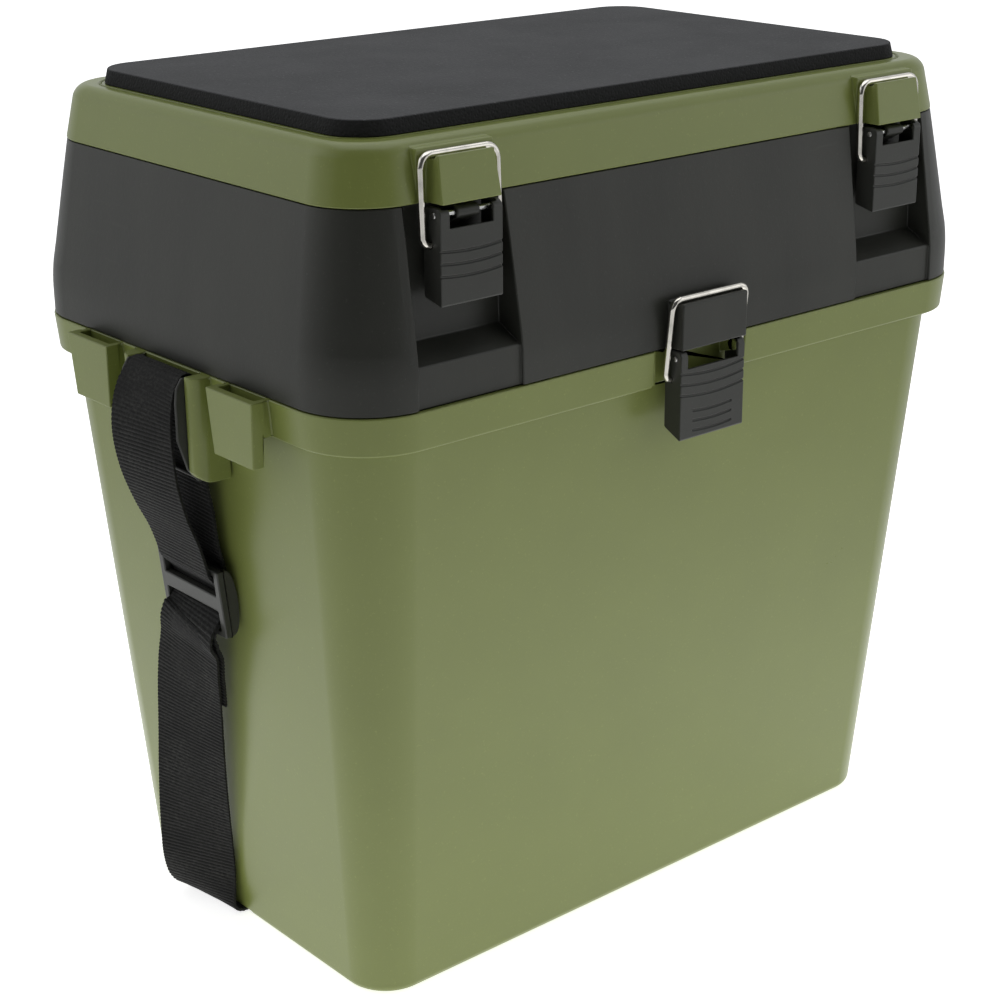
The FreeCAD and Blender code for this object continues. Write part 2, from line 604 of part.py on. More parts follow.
def bail(half, reach, end_x, corner):
    """Wire bail in its own plane: pivot axis X at the origin, crossbar at height reach."""
    foot = WIRE_FOOT_BEND
    right = []
    for turn in (0, 30, 60, 90):
        a = math.radians(turn)
        right.append(V(half - corner + corner * math.sin(a), 0, reach - corner + corner * math.cos(a)))
    for turn in (0, 30, 60, 90):
        a = math.radians(turn)
        right.append(V(half - foot + foot * math.cos(a), 0, foot - foot * math.sin(a)))
    right.append(V(end_x, 0, 0))
    left = [V(-p.x, 0, p.z) for p in reversed(right)]
    path = Part.Wire(Part.makePolygon(left + right).Edges)
    section = []
    for step in range(WIRE_SIDES + 1):
        a = math.radians(360 * step / WIRE_SIDES)
        section.append(left[0] + V(0, WIRE_RADIUS * math.cos(a), WIRE_RADIUS * math.sin(a)))
    wire = path.makePipeShell([Part.makePolygon(section)], True, False, 1)
    ends = []
    for side in (-1, 1):
        x0, x1 = sorted((side * end_x, side * (half - foot)))
        ends.append(cylinder_x(x0, x1, (0, 0), WIRE_RADIUS))
    return wire.fuse(ends)


def placed_bail(half, pivot, crossbar, end_x, corner, x):
    dy = crossbar[0] - pivot[0]
    dz = crossbar[1] - pivot[1]
    shape = bail(half, math.hypot(dy, dz), end_x, corner)
    shape.rotate(V(0, 0, 0), X_AXIS, math.degrees(math.atan2(-dy, dz)))
    return place(shape, x, pivot)


def lever_pins():
    """Long pins of the upper levers and short pins of the lower lever."""
    upper = []
    for side in (-1, 1):
        x = side * UPPER_X
        upper.append(cylinder_x(x - UPPER_LEVER.half - 0.4, x + UPPER_LEVER.half + 0.4, UPPER_PIN, PIN_RADIUS))
    lower = []
    for side in (-1, 1):
        x0, x1 = sorted((side * (LOWER_EAR_X[0] + 0.2), side * (LOWER_LEVER.half + 0.4)))
        lower.append(cylinder_x(x0, x1, LOWER_PIN, PIN_RADIUS))
    return upper, lower


def hinge_rods(splits, centre):
    rods = []
    for side in (-1, 1):
        x0, x1 = sorted((side * (splits[0] - 0.4), side * (splits[3] + 0.4)))
        rods.append(cylinder_x(x0, x1, centre, ROD_RADIUS))
    return rods


def strap_anchor():
    """Black insert of the -X end: two lugs, a bar for the webbing, a backplate and a sill."""
    parts = []
    x_front, x_back = -ANCHOR_LUG_X[1], -ANCHOR_LUG_X[0]
    low, high = ANCHOR_LUG_Z
    for side in (-1, 1):
        y0, y1 = sorted((side * ANCHOR_LUG_Y[0], side * ANCHOR_LUG_Y[1]))
        parts.append(prism_y([(x_back, low), (x_back, high), (-ANCHOR_STEP_X, high),
                              (-ANCHOR_STEP_X, ANCHOR_LUG_TOP_Z),
                              (x_front, ANCHOR_LUG_TOP_Z), (x_front, ANCHOR_BEND_Z), (-ANCHOR_SILL_X, low)], y0, y1))
    reach = ANCHOR_LUG_Y[0] + 0.5
    parts.append(box(-ANCHOR_PLATE_X[1], -ANCHOR_PLATE_X[0], -reach, reach, low, high))
    parts.append(box(-ANCHOR_SILL_X, -ANCHOR_PLATE_X[0], -reach, reach, low, low + ANCHOR_SILL))
    bar = Part.makeCylinder(BAR_RADIUS, 2 * reach, V(-BAR_X, -reach, BAR_Z), Y_AXIS)
    return parts[0].fuse(parts[1:] + [bar]).removeSplitter()


def strap_buckle():
    """Slotted buckle of the -X end: frame, rails, middle bar and two side flanges."""
    t = BUCKLE_THICK / 2
    frame = box(-t, t, -BUCKLE_HALF_Y, BUCKLE_HALF_Y, -BUCKLE_HALF_Z, BUCKLE_HALF_Z)
    slot_half_y = BUCKLE_HALF_Y - BUCKLE_SIDE
    for side in (-1, 1):
        z0, z1 = sorted((side * BUCKLE_BAR / 2, side * (BUCKLE_HALF_Z - BUCKLE_RAIL)))
        frame = frame.cut(box(-t - 1, t + 1, -slot_half_y, slot_half_y, z0, z1))
    flange = prism_y([(t, -BUCKLE_HALF_Z), (t, BUCKLE_HALF_Z), (t + 2.5, BUCKLE_HALF_Z - 3),
                      (t + BUCKLE_FLANGE, 3.0), (t + BUCKLE_FLANGE, -3.0), (t + 3.0, -BUCKLE_HALF_Z + 2)],
                     slot_half_y + 1.2, BUCKLE_HALF_Y)
    frame = frame.fuse([flange, flange.mirror(V(0, 0, 0), Y_AXIS)]).removeSplitter()
    frame.rotate(V(0, 0, 0), Y_AXIS, BUCKLE_LEAN)
    frame.translate(V(-BUCKLE_X, BUCKLE_Y, BUCKLE_Z))
    return frame


def buckle_point(height, out):
    """(X, Z) of a point beside the buckle, out from its middle plane."""
    a = math.radians(BUCKLE_LEAN)
    return (-BUCKLE_X - out * math.cos(a) + height * math.sin(a), BUCKLE_Z + out * math.sin(a) + height * math.cos(a))


# Courses of the webbing on the -X end, as (X, Z, centre Y, twist in degrees)
LAYER = WEB_THICK + 1.0
TOUCH = BUCKLE_THICK / 2 + WEB_THICK / 2 + 0.2
TAIL_SHIFT_Y = -2.0
TAIL_PLAY = 0.8
HANG_TOP_Z = BUCKLE_Z - 26.0
UNDER_Y = 27.5
# Hanging run as (distance out of the tub wall, share of HANG_TOP_Z, centre Y, twist)
HANG = ((11.4, 1.0, 7.0, -7.0), (11.3, 0.92, 9.5, -10.0), (11.2, 0.825, 12.0, -12.5), (11.2, 0.64, 16.5, -16.0),
        (11.2, 0.46, 20.5, -20.5), (10.9, 0.31, 23.5, -24.5), (10.8, 0.17, 25.3, -26.0))
# Turn under the floor as (distance out of the foot of the tub, Z, centre Y, twist)
TUCK = ((11.2, 12.0, 26.6, -20.0), (9.8, 6.6, 27.1, -12.0), (7.6, 3.0, 27.4, -4.0), (4.6, 1.45, UNDER_Y, -1.0),
        (1.0, 1.12, UNDER_Y, 0.0), (-4.0, UNDER_RUN_Z, UNDER_Y, 0.0), (-11.0, UNDER_RUN_Z, UNDER_Y, 0.0),
        (-18.7, UNDER_RUN_Z, UNDER_Y, 0.0))
# Courses between the buckle and the bar as (X from the bar, Z from the bar, centre Y, twist)
RISING = ((11.2, -72.4, 1.0, 0.0), (9.0, -56.4, 0.0, 0.0), (6.0, -38.4, 0.0, 0.0), (4.25, -18.4, 0.0, 0.0))
FALLING = ((-7.6, -5.4, 0.6, -4.0), (-10.0, -16.4, 1.0, -7.0), (-10.3, -27.4, 1.0, -8.0),
           (-8.3, -42.4, 1.5, -6.0), (-3.4, -58.4, 2.0, -3.0), (2.4, -72.4, 2.6, -1.0))


def hanging(station):
    out, share, y, twist = station
    z = share * HANG_TOP_Z
    return (-tub_size(z)[0] - out, z, y, twist)


def tucked(station):
    out, z, y, twist = station
    return (-TUB_FOOT[0] - out, z, y, twist)


def from_bar(station):
    x, z, y, twist = station
    return (x - BAR_X, BAR_Z + z, y, twist)


def on_buckle(height, out):
    x, z = buckle_point(height, out)
    return (x, z, BUCKLE_Y, 0.0)


def around_bar(degrees):
    r = BAR_RADIUS + WEB_PLAY + WEB_THICK / 2
    a = math.radians(degrees)
    return (-BAR_X + r * math.cos(a), BAR_Z + r * math.sin(a), 0.0, 0.0)


def upper_course():
    """From the free tail up behind the buckle, over the bar and down through the buckle."""
    tail = []
    for station in (HANG[2], HANG[1], HANG[0]):
        x, z, y, twist = hanging(station)
        tail.append((x + LAYER + TAIL_PLAY, z, y + TAIL_SHIFT_Y, -twist))
    behind = [on_buckle(-18.0, TOUCH + 0.1), on_buckle(-13.2, TOUCH + 0.3), on_buckle(-9.2, -1.0),
              on_buckle(-5.2, -TOUCH - LAYER - 0.1), on_buckle(2.0, -TOUCH - LAYER - 0.2),
              on_buckle(12.0, -TOUCH - LAYER - 0.6)]
    turn = [around_bar(degrees) for degrees in range(0, 180, 30)]
    through = [on_buckle(16.6, TOUCH + 0.6), on_buckle(12.8, TOUCH), on_buckle(4.6, -TOUCH - 0.2),
               on_buckle(0.0, -TOUCH - 0.2)]
    rising = [from_bar(station) for station in RISING]
    falling = [from_bar(station) for station in FALLING]
    return tail + behind + rising + turn + falling + through


def lower_course():
    """From the buckle down the end wall and under the floor."""
    start = [on_buckle(-0.8, -TOUCH - 0.2), on_buckle(-4.8, -TOUCH - 0.2), on_buckle(-9.0, 1.4),
             on_buckle(-13.0, TOUCH + LAYER + 0.3), on_buckle(-18.0, TOUCH + LAYER + 0.1)]
    return start + [hanging(station) for station in HANG] + [tucked(station) for station in TUCK]


def web_section(curve, u, twist):
    """Four corners of the webbing across a curve at parameter u."""
    tangent = curve.tangent(u)[0]
    tangent.normalize()
    across = Y_AXIS - tangent * Y_AXIS.dot(tangent)
    across.normalize()
    a = math.radians(twist)
    lean = across * math.cos(a) + tangent.cross(across) * math.sin(a)
    centre = curve.value(u)
    w = lean * (WEB_WIDTH / 2)
    n = tangent.cross(lean) * (WEB_THICK / 2)
    return [centre - w - n, centre + w - n, centre + w + n, centre - w + n]


def triangle(a, b, c):
    return Part.Face(Part.makePolygon([a, b, c, a]))


def web_solid(course, steps):
    """Strip of webbing along a course of (X, Z, centre Y, twist) stations, steps in each span."""
    points = [V(x, y, z) for x, z, y, twist in course]
    curve = Part.BSplineCurve()
    curve.interpolate(points)
    sections = []
    for i in range(len(points) - 1):
        u0, u1 = curve.parameter(points[i]), curve.parameter(points[i + 1])
        for step in range(steps):
            t = step / steps
            twist = course[i][3] + (course[i + 1][3] - course[i][3]) * t
            sections.append(web_section(curve, u0 + (u1 - u0) * t, twist))
    sections.append(web_section(curve, curve.LastParameter, course[-1][3]))
    faces = []
    for low, high in zip(sections, sections[1:]):
        for j in range(4):
            k = (j + 1) % 4
            faces.append(triangle(low[j], low[k], high[k]))
            faces.append(triangle(low[j], high[k], high[j]))
    for a, b, c, d in (sections[0], sections[-1]):
        faces.extend([triangle(a, b, c), triangle(a, c, d)])
    solid = Part.Solid(Part.makeShell(faces))
    solid.fixTolerance(1e-5)
    return solid if solid.Volume > 0 else solid.reversed()


def strap_webbing():
    loop = web_solid(upper_course(), SPAN_STEPS)
    run = web_solid(lower_course(), SPAN_STEPS)
    half_x = TUB_FOOT[0] - 18.8
    under = box(-half_x, half_x, UNDER_Y - WEB_WIDTH / 2, UNDER_Y + WEB_WIDTH / 2,
                UNDER_RUN_Z - WEB_THICK / 2, UNDER_RUN_Z + WEB_THICK / 2)
    return [loop, flip_x(loop), run, flip_x(run), under]


def dividers():
    room = tray_cavity(DIVIDER_GAP)
    for block in both_sides(housing()):
        room = room.cut(block)
    half = DIVIDER_THICK / 2
    slab = box(-200, 200, DIVIDER_Y - half, DIVIDER_Y + half, TRAY_Z, DIVIDER_TOP_Z)
    long_one = room.common(slab)
    short = []
    for x in (-CROSS_DIVIDER_X, CROSS_DIVIDER_X):
        slab = box(x - half, x + half, DIVIDER_Y + half + DIVIDER_GAP, 130, TRAY_Z, DIVIDER_TOP_Z - 4)
        short.append(room.common(slab))
    return long_one, short


def build():
    save("bucket_shell", bucket_shell())
    save("tray_shell", tray_shell())
    save("lid_shell", lid_shell())
    save("seat_pad", seat_pad())
    long_one, short = dividers()
    save("divider_long", long_one)
    save("dividers_cross", solids_as_one(short))

    upper_pins, lower_pins = lever_pins()
    save("upper_lever_pins", solids_as_one(upper_pins))
    save("lower_lever_pins", solids_as_one(lower_pins))
    save("tray_hinge_rods", solids_as_one(hinge_rods(KNUCKLE_SPLITS, TRAY_HINGE)))
    save("lid_hinge_rods", solids_as_one(hinge_rods(LID_KNUCKLE_SPLITS, LID_HINGE)))

    for name, x in (("left", -UPPER_X), ("right", UPPER_X)):
        lever = place(UPPER_LEVER.solid(UPPER_GROOVES, ()), x, UPPER_PIN)
        save("lever_" + name, lever)
        save("bail_" + name, placed_bail(UPPER_BAIL_HALF, UPPER_PIVOT, UPPER_CROSSBAR, 11.6, UPPER_WIRE_CORNER, x))
    save("lever_front", place(LOWER_LEVER.solid(LOWER_GROOVES, LOWER_SHORT_GROOVES), 0, LOWER_PIN))
    save("bail_front", placed_bail(LOWER_BAIL_HALF, LOWER_PIVOT, LOWER_CROSSBAR, 15.2, LOWER_WIRE_CORNER, 0))

    anchor = strap_anchor()
    save("strap_anchor_left", anchor)
    save("strap_anchor_right", flip_x(anchor))
    buckle = strap_buckle()
    save("strap_buckle_left", buckle)
    save("strap_buckle_right", flip_x(buckle))
    save("strap_webbing", solids_as_one(strap_webbing()))


build()
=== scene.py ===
"""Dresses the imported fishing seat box: finer shells, latches, strap and pad, their finishes and the studio.

The box stands on Z = 0 with its latches towards -Y and a lower end of the strap on -X and on +X. Shapes are
drawn in millimetres and get their real size in metres when they are finished.
"""

import json
import logging
import math
from dataclasses import dataclass
from enum import Enum
from typing import Any, Callable, Iterable, Optional, Sequence, Union

import bmesh
import bpy
from mathutils import Matrix, Vector

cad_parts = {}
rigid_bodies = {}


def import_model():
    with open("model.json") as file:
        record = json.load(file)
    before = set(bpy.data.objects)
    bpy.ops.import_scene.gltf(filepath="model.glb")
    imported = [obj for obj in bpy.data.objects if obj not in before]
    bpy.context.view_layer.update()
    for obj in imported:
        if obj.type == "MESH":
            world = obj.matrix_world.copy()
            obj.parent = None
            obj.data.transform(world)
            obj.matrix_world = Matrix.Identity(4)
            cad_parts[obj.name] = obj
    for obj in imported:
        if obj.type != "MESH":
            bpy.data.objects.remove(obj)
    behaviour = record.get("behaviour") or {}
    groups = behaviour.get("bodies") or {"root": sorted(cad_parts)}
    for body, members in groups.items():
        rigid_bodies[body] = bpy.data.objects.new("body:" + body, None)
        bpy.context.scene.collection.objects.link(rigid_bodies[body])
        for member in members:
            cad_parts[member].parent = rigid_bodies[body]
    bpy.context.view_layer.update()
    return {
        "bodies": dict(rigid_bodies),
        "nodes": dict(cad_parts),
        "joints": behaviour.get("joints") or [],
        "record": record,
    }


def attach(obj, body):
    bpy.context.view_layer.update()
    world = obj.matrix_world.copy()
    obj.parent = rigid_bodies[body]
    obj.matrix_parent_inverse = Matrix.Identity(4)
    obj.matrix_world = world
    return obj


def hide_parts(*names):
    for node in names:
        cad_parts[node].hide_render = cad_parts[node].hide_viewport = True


LOG = logging.getLogger("seat_box")
MM = 0.001
SIDES = (-1, 1)
SHELL_STEPS = 16

# A size is a rounded rectangle's half length, half depth and corner radius, and a section is a size at a
# height. A station of the webbing is X, Z, centre Y and twist in degrees.
Size = tuple[float, float, float]
Section = tuple[Size, float]
Station = tuple[float, float, float, float]
Place = tuple[float, float, float]
Colour = tuple[float, float, float]
Point2 = tuple[float, float]

# Axes that two parts share, as (Y, Z), with the barrels about them, and the place of the upper latches.
TRAY_AXIS: Point2 = (126.2, 277.0)
TRAY_BARREL = 3.8
LID_AXIS: Point2 = (116.9, 350.2)
LID_BARREL = 3.6
UPPER_PIN: Point2 = (-116.8, 346.0)
LOWER_PIN: Point2 = (-125.6, 269.0)
UPPER_LATCH_X = 124.0


# Finishes


class Slot(Enum):
    """Material slots of the record."""

    GREEN = "green_plastic"
    BLACK = "black_plastic"
    FOAM = "foam"
    CHROME = "chrome_wire"
    STEEL = "steel_pin"
    WEBBING = "webbing"


class Link:
    """An output socket that takes part in Python sums as a Math node would."""

    def __init__(self, graph: "Graph", socket: bpy.types.NodeSocket) -> None:
        """Keeps the socket and the graph it belongs to.

        Args:
            graph: the graph that new nodes go into.
            socket: the output socket.
        """
        self.graph = graph
        self.socket = socket

    def _math(self, operation: str, first: Any, second: Any) -> "Link":
        """Adds one Math node over two values or links."""
        return self.graph.node("ShaderNodeMath", {"operation": operation}, {0: first, 1: second})

    def __add__(self, other: Any) -> "Link":
        """Sum."""
        return self._math("ADD", self, other)

    def __radd__(self, other: Any) -> "Link":
        """Sum with the number first."""
        return self._math("ADD", other, self)

    def __sub__(self, other: Any) -> "Link":
        """Difference."""
        return self._math("SUBTRACT", self, other)

    def __rsub__(self, other: Any) -> "Link":
        """Difference with the number first."""
        return self._math("SUBTRACT", other, self)

    def __mul__(self, other: Any) -> "Link":
        """Product."""
        return self._math("MULTIPLY", self, other)

    def __rmul__(self, other: Any) -> "Link":
        """Product with the number first."""
        return self._math("MULTIPLY", other, self)

    def clamp(self) -> "Link":
        """The value held between 0 and 1."""
        return self.graph.node("ShaderNodeClamp", {}, {0: self})


class Graph:
    """Builds one node tree, node by node."""

    def __init__(self, tree: bpy.types.NodeTree) -> None:
        """Empties a tree and keeps it.

        Args:
            tree: the node tree of a material, of the world or of a geometry modifier.
        """
        self.tree = tree
        tree.nodes.clear()

    def node(self, kind: str, settings: dict[str, Any], values: dict[Union[str, int], Any],
             output: Union[str, int] = 0) -> Link:
        """Adds a node, sets it up, then fills its sockets.

        Args:
            kind: the node's type name.
            settings: properties set first; "ramp" holds (position, colour) stops.
            values: numbers, tuples or links by socket name or index.
            output: the output that is returned.

        Returns:
            The chosen output as a link.
        """
        node = self.tree.nodes.new(kind)
        for key, value in settings.items():
            if key == "ramp":
                elements = node.color_ramp.elements
                while len(elements) < len(value):
                    elements.new(0.5)
                for element, (place, colour) in zip(elements, value):
                    element.position = place
                    element.color = colour
            else:
                setattr(node, key, value)
        for key, value in values.items():
            self.put(node.inputs[key], value)
        return Link(self, node.outputs[output])

    def put(self, socket: bpy.types.NodeSocket, value: Any) -> None:
        """Fills an input socket.

        Args:
            socket: the socket.
            value: a number, a tuple, a data block or a link.
        """
        if isinstance(value, Link):
            self.tree.links.new(value.socket, socket)
        else:
            socket.default_value = value

    def end(self, kind: str, value: Link) -> None:
        """Adds the tree's output node and feeds its first socket."""
        self.put(self.tree.nodes.new(kind).inputs[0], value)


class Surface(Graph):
    """Node tree of one material, around a Principled shader."""

    def __init__(self, name: str) -> None:
        """Makes a material with a Principled shader on its output.

        Args:
            name: the material's name.
        """
        self.material = bpy.data.materials.new(name)
        self.material.use_nodes = True
        super().__init__(self.material.node_tree)
        self.shader = self.tree.nodes.new("ShaderNodeBsdfPrincipled")
        self.end("ShaderNodeOutputMaterial", Link(self, self.shader.outputs[0]))

    def dress(self, **values: Any) -> None:
        """Fills the shader's sockets; an underscore in a name stands for a space."""
        for key, value in values.items():
            self.put(self.shader.inputs[key.replace("_", " ")], value)

    def place(self, stretch: Size = (1.0, 1.0, 1.0)) -> Link:
        """Object coordinates, stretched along the axes."""
        base = self.node("ShaderNodeTexCoord", {}, {}, "Object")
        return self.node("ShaderNodeMapping", {}, {"Vector": base, "Scale": stretch})

    def noise(self, where: Link, scale: float, detail: float = 3.0, roughness: float = 0.5) -> Link:
        """Value of a noise texture, about 0.5 on average."""
        return self.node("ShaderNodeTexNoise", {}, {"Vector": where, "Scale": scale, "Detail": detail,
                                                    "Roughness": roughness}, "Fac")

    def between(self, factor: Link, low: Any, high: Any) -> Link:
        """Mix of two colours by a factor."""
        return self.node("ShaderNodeMix", {"data_type": "RGBA"}, {0: factor, 6: low, 7: high}, 2)

    def ramp(self, factor: Link, low: float, high: float) -> Link:
        """The factor drawn out so that low becomes 0 and high becomes 1."""
        return self.node("ShaderNodeMapRange", {"clamp": True}, {0: factor, 1: low, 2: high, 3: 0.0, 4: 1.0})

    def bump(self, height: Link, strength: float, distance: float, below: Optional[Link] = None) -> Link:
        """Bends the normal by a height field.

        Args:
            height: the field.
            strength: how much of the bend is used.
            distance: height in metres of a step from 0 to 1.
            below: a normal that was bent before.

        Returns:
            The normal.
        """
        values: dict[Union[str, int], Any] = {"Height": height, "Strength": strength, "Distance": distance}
        if below is not None:
            values["Normal"] = below
        return self.node("ShaderNodeBump", {}, values)


def rgba(colour: Sequence[float]) -> tuple[float, float, float, float]:
    """A colour with full alpha."""
    return (colour[0], colour[1], colour[2], 1.0)


@dataclass(frozen=True)
class MouldedPlastic:
    """Injection-moulded plastic with a fine spark-eroded grain, flow mottling and rub marks.

    Attributes:
        name: the material's name.
        slot: the record's slot it belongs to.
        colour: main colour.
        shade: colour of the darker clouds.
        rough: mean roughness.
        grain: height of the grain in metres.
        rubs: how strongly rub marks show, 0 to 1.
        upright: stretch of the mottling along Z, under 1 for upright bands.
        gloss: strength of the reflection, 0.5 for plain plastic.
    """

    name: str
    slot: Slot
    colour: Colour
    shade: Colour
    rough: float
    grain: float
    rubs: float
    upright: float = 1.0
    gloss: float = 0.36

    def make(self) -> bpy.types.Material:
        """Builds the material.

        Returns:
            The material.
        """
        g = Surface(self.name)
        place = g.place()
        clouds = g.noise(g.place((1.0, 1.0, self.upright)), 26.0, 4.0)
        fine = g.noise(place, 1500.0, 2.0)
        coarse = g.noise(place, 420.0, 3.0)
        specks = g.noise(place, 900.0, 1.0)
        marks = g.noise(g.place((18.0, 18.0, 260.0)), 1.0, 3.0, 0.65)
        patches = g.noise(place, 14.0, 2.0)
        rubbed = g.ramp(marks, 0.62, 0.74) * g.ramp(patches, 0.5, 0.68) * self.rubs
        tone = g.between(g.ramp(clouds, 0.3, 0.7), rgba(self.shade), rgba(self.colour))
        pale = tuple(min(1.0, c * 1.7 + 0.015) for c in self.colour)
        tone = g.between(rubbed * 0.55, tone, rgba(pale))
        tone = g.between(g.ramp(specks, 0.66, 0.8) * 0.25, tone, rgba(pale))
        rough = self.rough + (clouds - 0.5) * 0.08 + (coarse - 0.5) * 0.04 + rubbed * 0.12
        normal = g.bump(coarse, 0.35, self.grain * 2.0)
        normal = g.bump(fine, 0.5, self.grain, normal)
        g.dress(Base_Color=tone, Roughness=rough.clamp(), Normal=normal, IOR=1.49,
                Specular_IOR_Level=self.gloss)
        return g.material


@dataclass(frozen=True)
class FoamSkin:
    """Closed-cell foam sheet with open pores in its skin, and painted shade on the faces that don't point up.

    Attributes:
        name: the material's name.
        slot: the record's slot it belongs to; not used.
        colour: main colour.
        speck: colour of the pale crumbs.
        cell: number of cells in a metre.
    """

    name: str
    slot: Slot
    colour: Colour
    speck: Colour
    cell: float

    def make(self) -> bpy.types.Material:
        """Builds the material.

        Returns:
            The material.
        """
        g = Surface(self.name)
        place = g.place()
        pores = g.node("ShaderNodeTexVoronoi", {"feature": "F1"}, {"Vector": place, "Scale": self.cell},
                       "Distance")
        crumbs = g.noise(place, self.cell * 0.9, 2.0, 0.7)
        clouds = g.noise(place, 30.0, 3.0)
        dark, painted_side_shade = (rgba([c * part for c in self.colour]) for part in (0.75, 0.22))
        tone = g.between(g.ramp(clouds, 0.3, 0.7), dark, rgba(self.colour))
        tone = g.between(g.ramp(crumbs, 0.6, 0.74) * 0.8, tone, rgba(self.speck))
        # Painted shade: faces that don't point up are darkened to about a fifth of the colour, as sides out
        # of the light look.
        facing = g.node("ShaderNodeNewGeometry", {}, {}, "True Normal")
        upward = g.node("ShaderNodeSeparateXYZ", {}, {0: facing}, 2)
        tone = g.between(g.ramp(upward, 0.35, 0.85), painted_side_shade, tone)
        normal = g.bump(g.ramp(pores, 0.0, 0.6), 0.6, 0.00035)
        normal = g.bump(crumbs, 0.45, 0.0004, normal)
        g.dress(Base_Color=tone, Roughness=(0.86 + (crumbs - 0.5) * 0.2).clamp(), Normal=normal, IOR=1.4)
        return g.material


@dataclass(frozen=True)
class BareMetal:
    """Plated wire or plain rod with drawing lines and faint tarnish.

    Attributes:
        name: the material's name.
        slot: the record's slot it belongs to; not used.
        colour: metal colour.
        rough: mean roughness.
        lines: strength of the drawing lines.
    """

    name: str
    slot: Slot
    colour: Colour
    rough: float
    lines: float

    def make(self) -> bpy.types.Material:
        """Builds the material.

        Returns:
            The material.
        """
        g = Surface(self.name)
        drawn = g.noise(g.place((2600.0, 2600.0, 90.0)), 1.0, 2.0)
        haze = g.noise(g.place(), 160.0, 3.0)
        dull = tuple(c * 0.72 for c in self.colour)
        tone = g.between(g.ramp(haze, 0.45, 0.75), rgba(self.colour), rgba(dull))
        rough = self.rough + (haze - 0.5) * 0.16 + (drawn - 0.5) * self.lines
        g.dress(Base_Color=tone, Metallic=1.0, Roughness=rough.clamp(), Normal=g.bump(drawn, 0.2, 0.00004))
        return g.material


@dataclass(frozen=True)
class WovenBand:
    """Ribbed polypropylene webbing with a fine thread grain.

    Attributes:
        name: the material's name.
        slot: the record's slot it belongs to; not used.
        colour: yarn colour.
        light: colour of the worn yarn tops.
    """

    name: str
    slot: Slot
    colour: Colour
    light: Colour

    def make(self) -> bpy.types.Material:
        """Builds the material.

        Returns:
            The material.
        """
        g = Surface(self.name)
        threads = g.noise(g.place((500.0, 640.0, 1100.0)), 1.0, 2.0)
        knots = g.noise(g.place(), 1250.0, 2.0, 0.7)
        wear = g.noise(g.place(), 60.0, 3.0)
        worn = g.ramp(threads, 0.4, 0.75) * g.ramp(wear, 0.3, 0.8)
        normal = g.bump(threads, 0.7, 0.00025)
        normal = g.bump(knots, 0.5, 0.0002, normal)
        rough = 0.78 + (knots - 0.5) * 0.3
        g.dress(Base_Color=g.between(worn, rgba(self.colour), rgba(self.light)), Roughness=rough.clamp(),
                Normal=normal, IOR=1.45, Sheen_Weight=0.04, Sheen_Roughness=0.5, Specular_IOR_Level=0.3)
        return g.material


Finish = Union[MouldedPlastic, FoamSkin, BareMetal, WovenBand]


class Finishes:
    """Every finish of the box, made once."""

    def __init__(self) -> None:
        """Builds the materials and keeps them by name."""
        self.green = MouldedPlastic("green_plastic", Slot.GREEN, (0.206, 0.242, 0.063), (0.196, 0.230, 0.059),
                                    rough=0.30, grain=0.00003, rubs=0.06, gloss=0.5)
        self.black = MouldedPlastic("black_plastic", Slot.BLACK, (0.038, 0.039, 0.032), (0.026, 0.027, 0.022),
                                    rough=0.40, grain=0.00006, rubs=0.5, upright=0.3)
        self.lever = MouldedPlastic("lever_plastic", Slot.BLACK, (0.047, 0.048, 0.042), (0.038, 0.039, 0.034),
                                    rough=0.34, grain=0.00004, rubs=0.4)
        self.foam = FoamSkin("foam", Slot.FOAM, (0.062, 0.063, 0.066), (0.125, 0.127, 0.132), cell=780.0)
        self.chrome = BareMetal("chrome_wire", Slot.CHROME, (0.80, 0.77, 0.70), rough=0.12, lines=0.10)
        self.steel = BareMetal("steel_pin", Slot.STEEL, (0.55, 0.55, 0.54), rough=0.28, lines=0.2)
        self.webbing = WovenBand("webbing", Slot.WEBBING, (0.0045, 0.0045, 0.004), (0.038, 0.038, 0.034))
        finishes = (self.green, self.black, self.lever, self.foam, self.chrome, self.steel, self.webbing)
        self._made = {finish.name: finish.make() for finish in finishes}

    def material(self, finish: Finish) -> bpy.types.Material:
        """The material of a finish."""
        return self._made[finish.name]


# Mesh building, in millimetres


def new_object(name: str, data: Any) -> bpy.types.Object:
    """Makes an object and puts it in the scene.

    Args:
        name: its name.
        data: its mesh, lamp or camera.

    Returns:
        The object.
    """
    obj = bpy.data.objects.new(name, data)
    bpy.context.scene.collection.objects.link(obj)
    return obj


def bake(obj: bpy.types.Object) -> bpy.types.Mesh:
    """Applies an object's modifiers.

    Args:
        obj: the object, which gets the result as its mesh.

    Returns:
        The mesh.
    """
    bpy.context.view_layer.update()
    graph = bpy.context.evaluated_depsgraph_get()
    mesh = bpy.data.meshes.new_from_object(obj.evaluated_get(graph))
    obj.modifiers.clear()
    obj.data = mesh
    return mesh


def edit(mesh: bpy.types.Mesh, change: Callable[[bmesh.types.BMesh], Any]) -> None:
    """Opens a mesh, changes it and writes it back.

    Args:
        mesh: the mesh.
        change: what is done to it.
    """
    work = bmesh.new()
    work.from_mesh(mesh)
    change(work)
    work.to_mesh(mesh)
    work.free()


def grow(size: Size, by: float) -> Size:
    """A rounded rectangle's half sizes and corner radius, all larger by a distance."""
    return (size[0] + by, size[1] + by, max(0.3, size[2] + by))


def blend_size(low: Size, high: Size, t: float) -> Size:
    """A size part of the way from one to another."""
    return (low[0] + (high[0] - low[0]) * t, low[1] + (high[1] - low[1]) * t, low[2] + (high[2] - low[2]) * t)


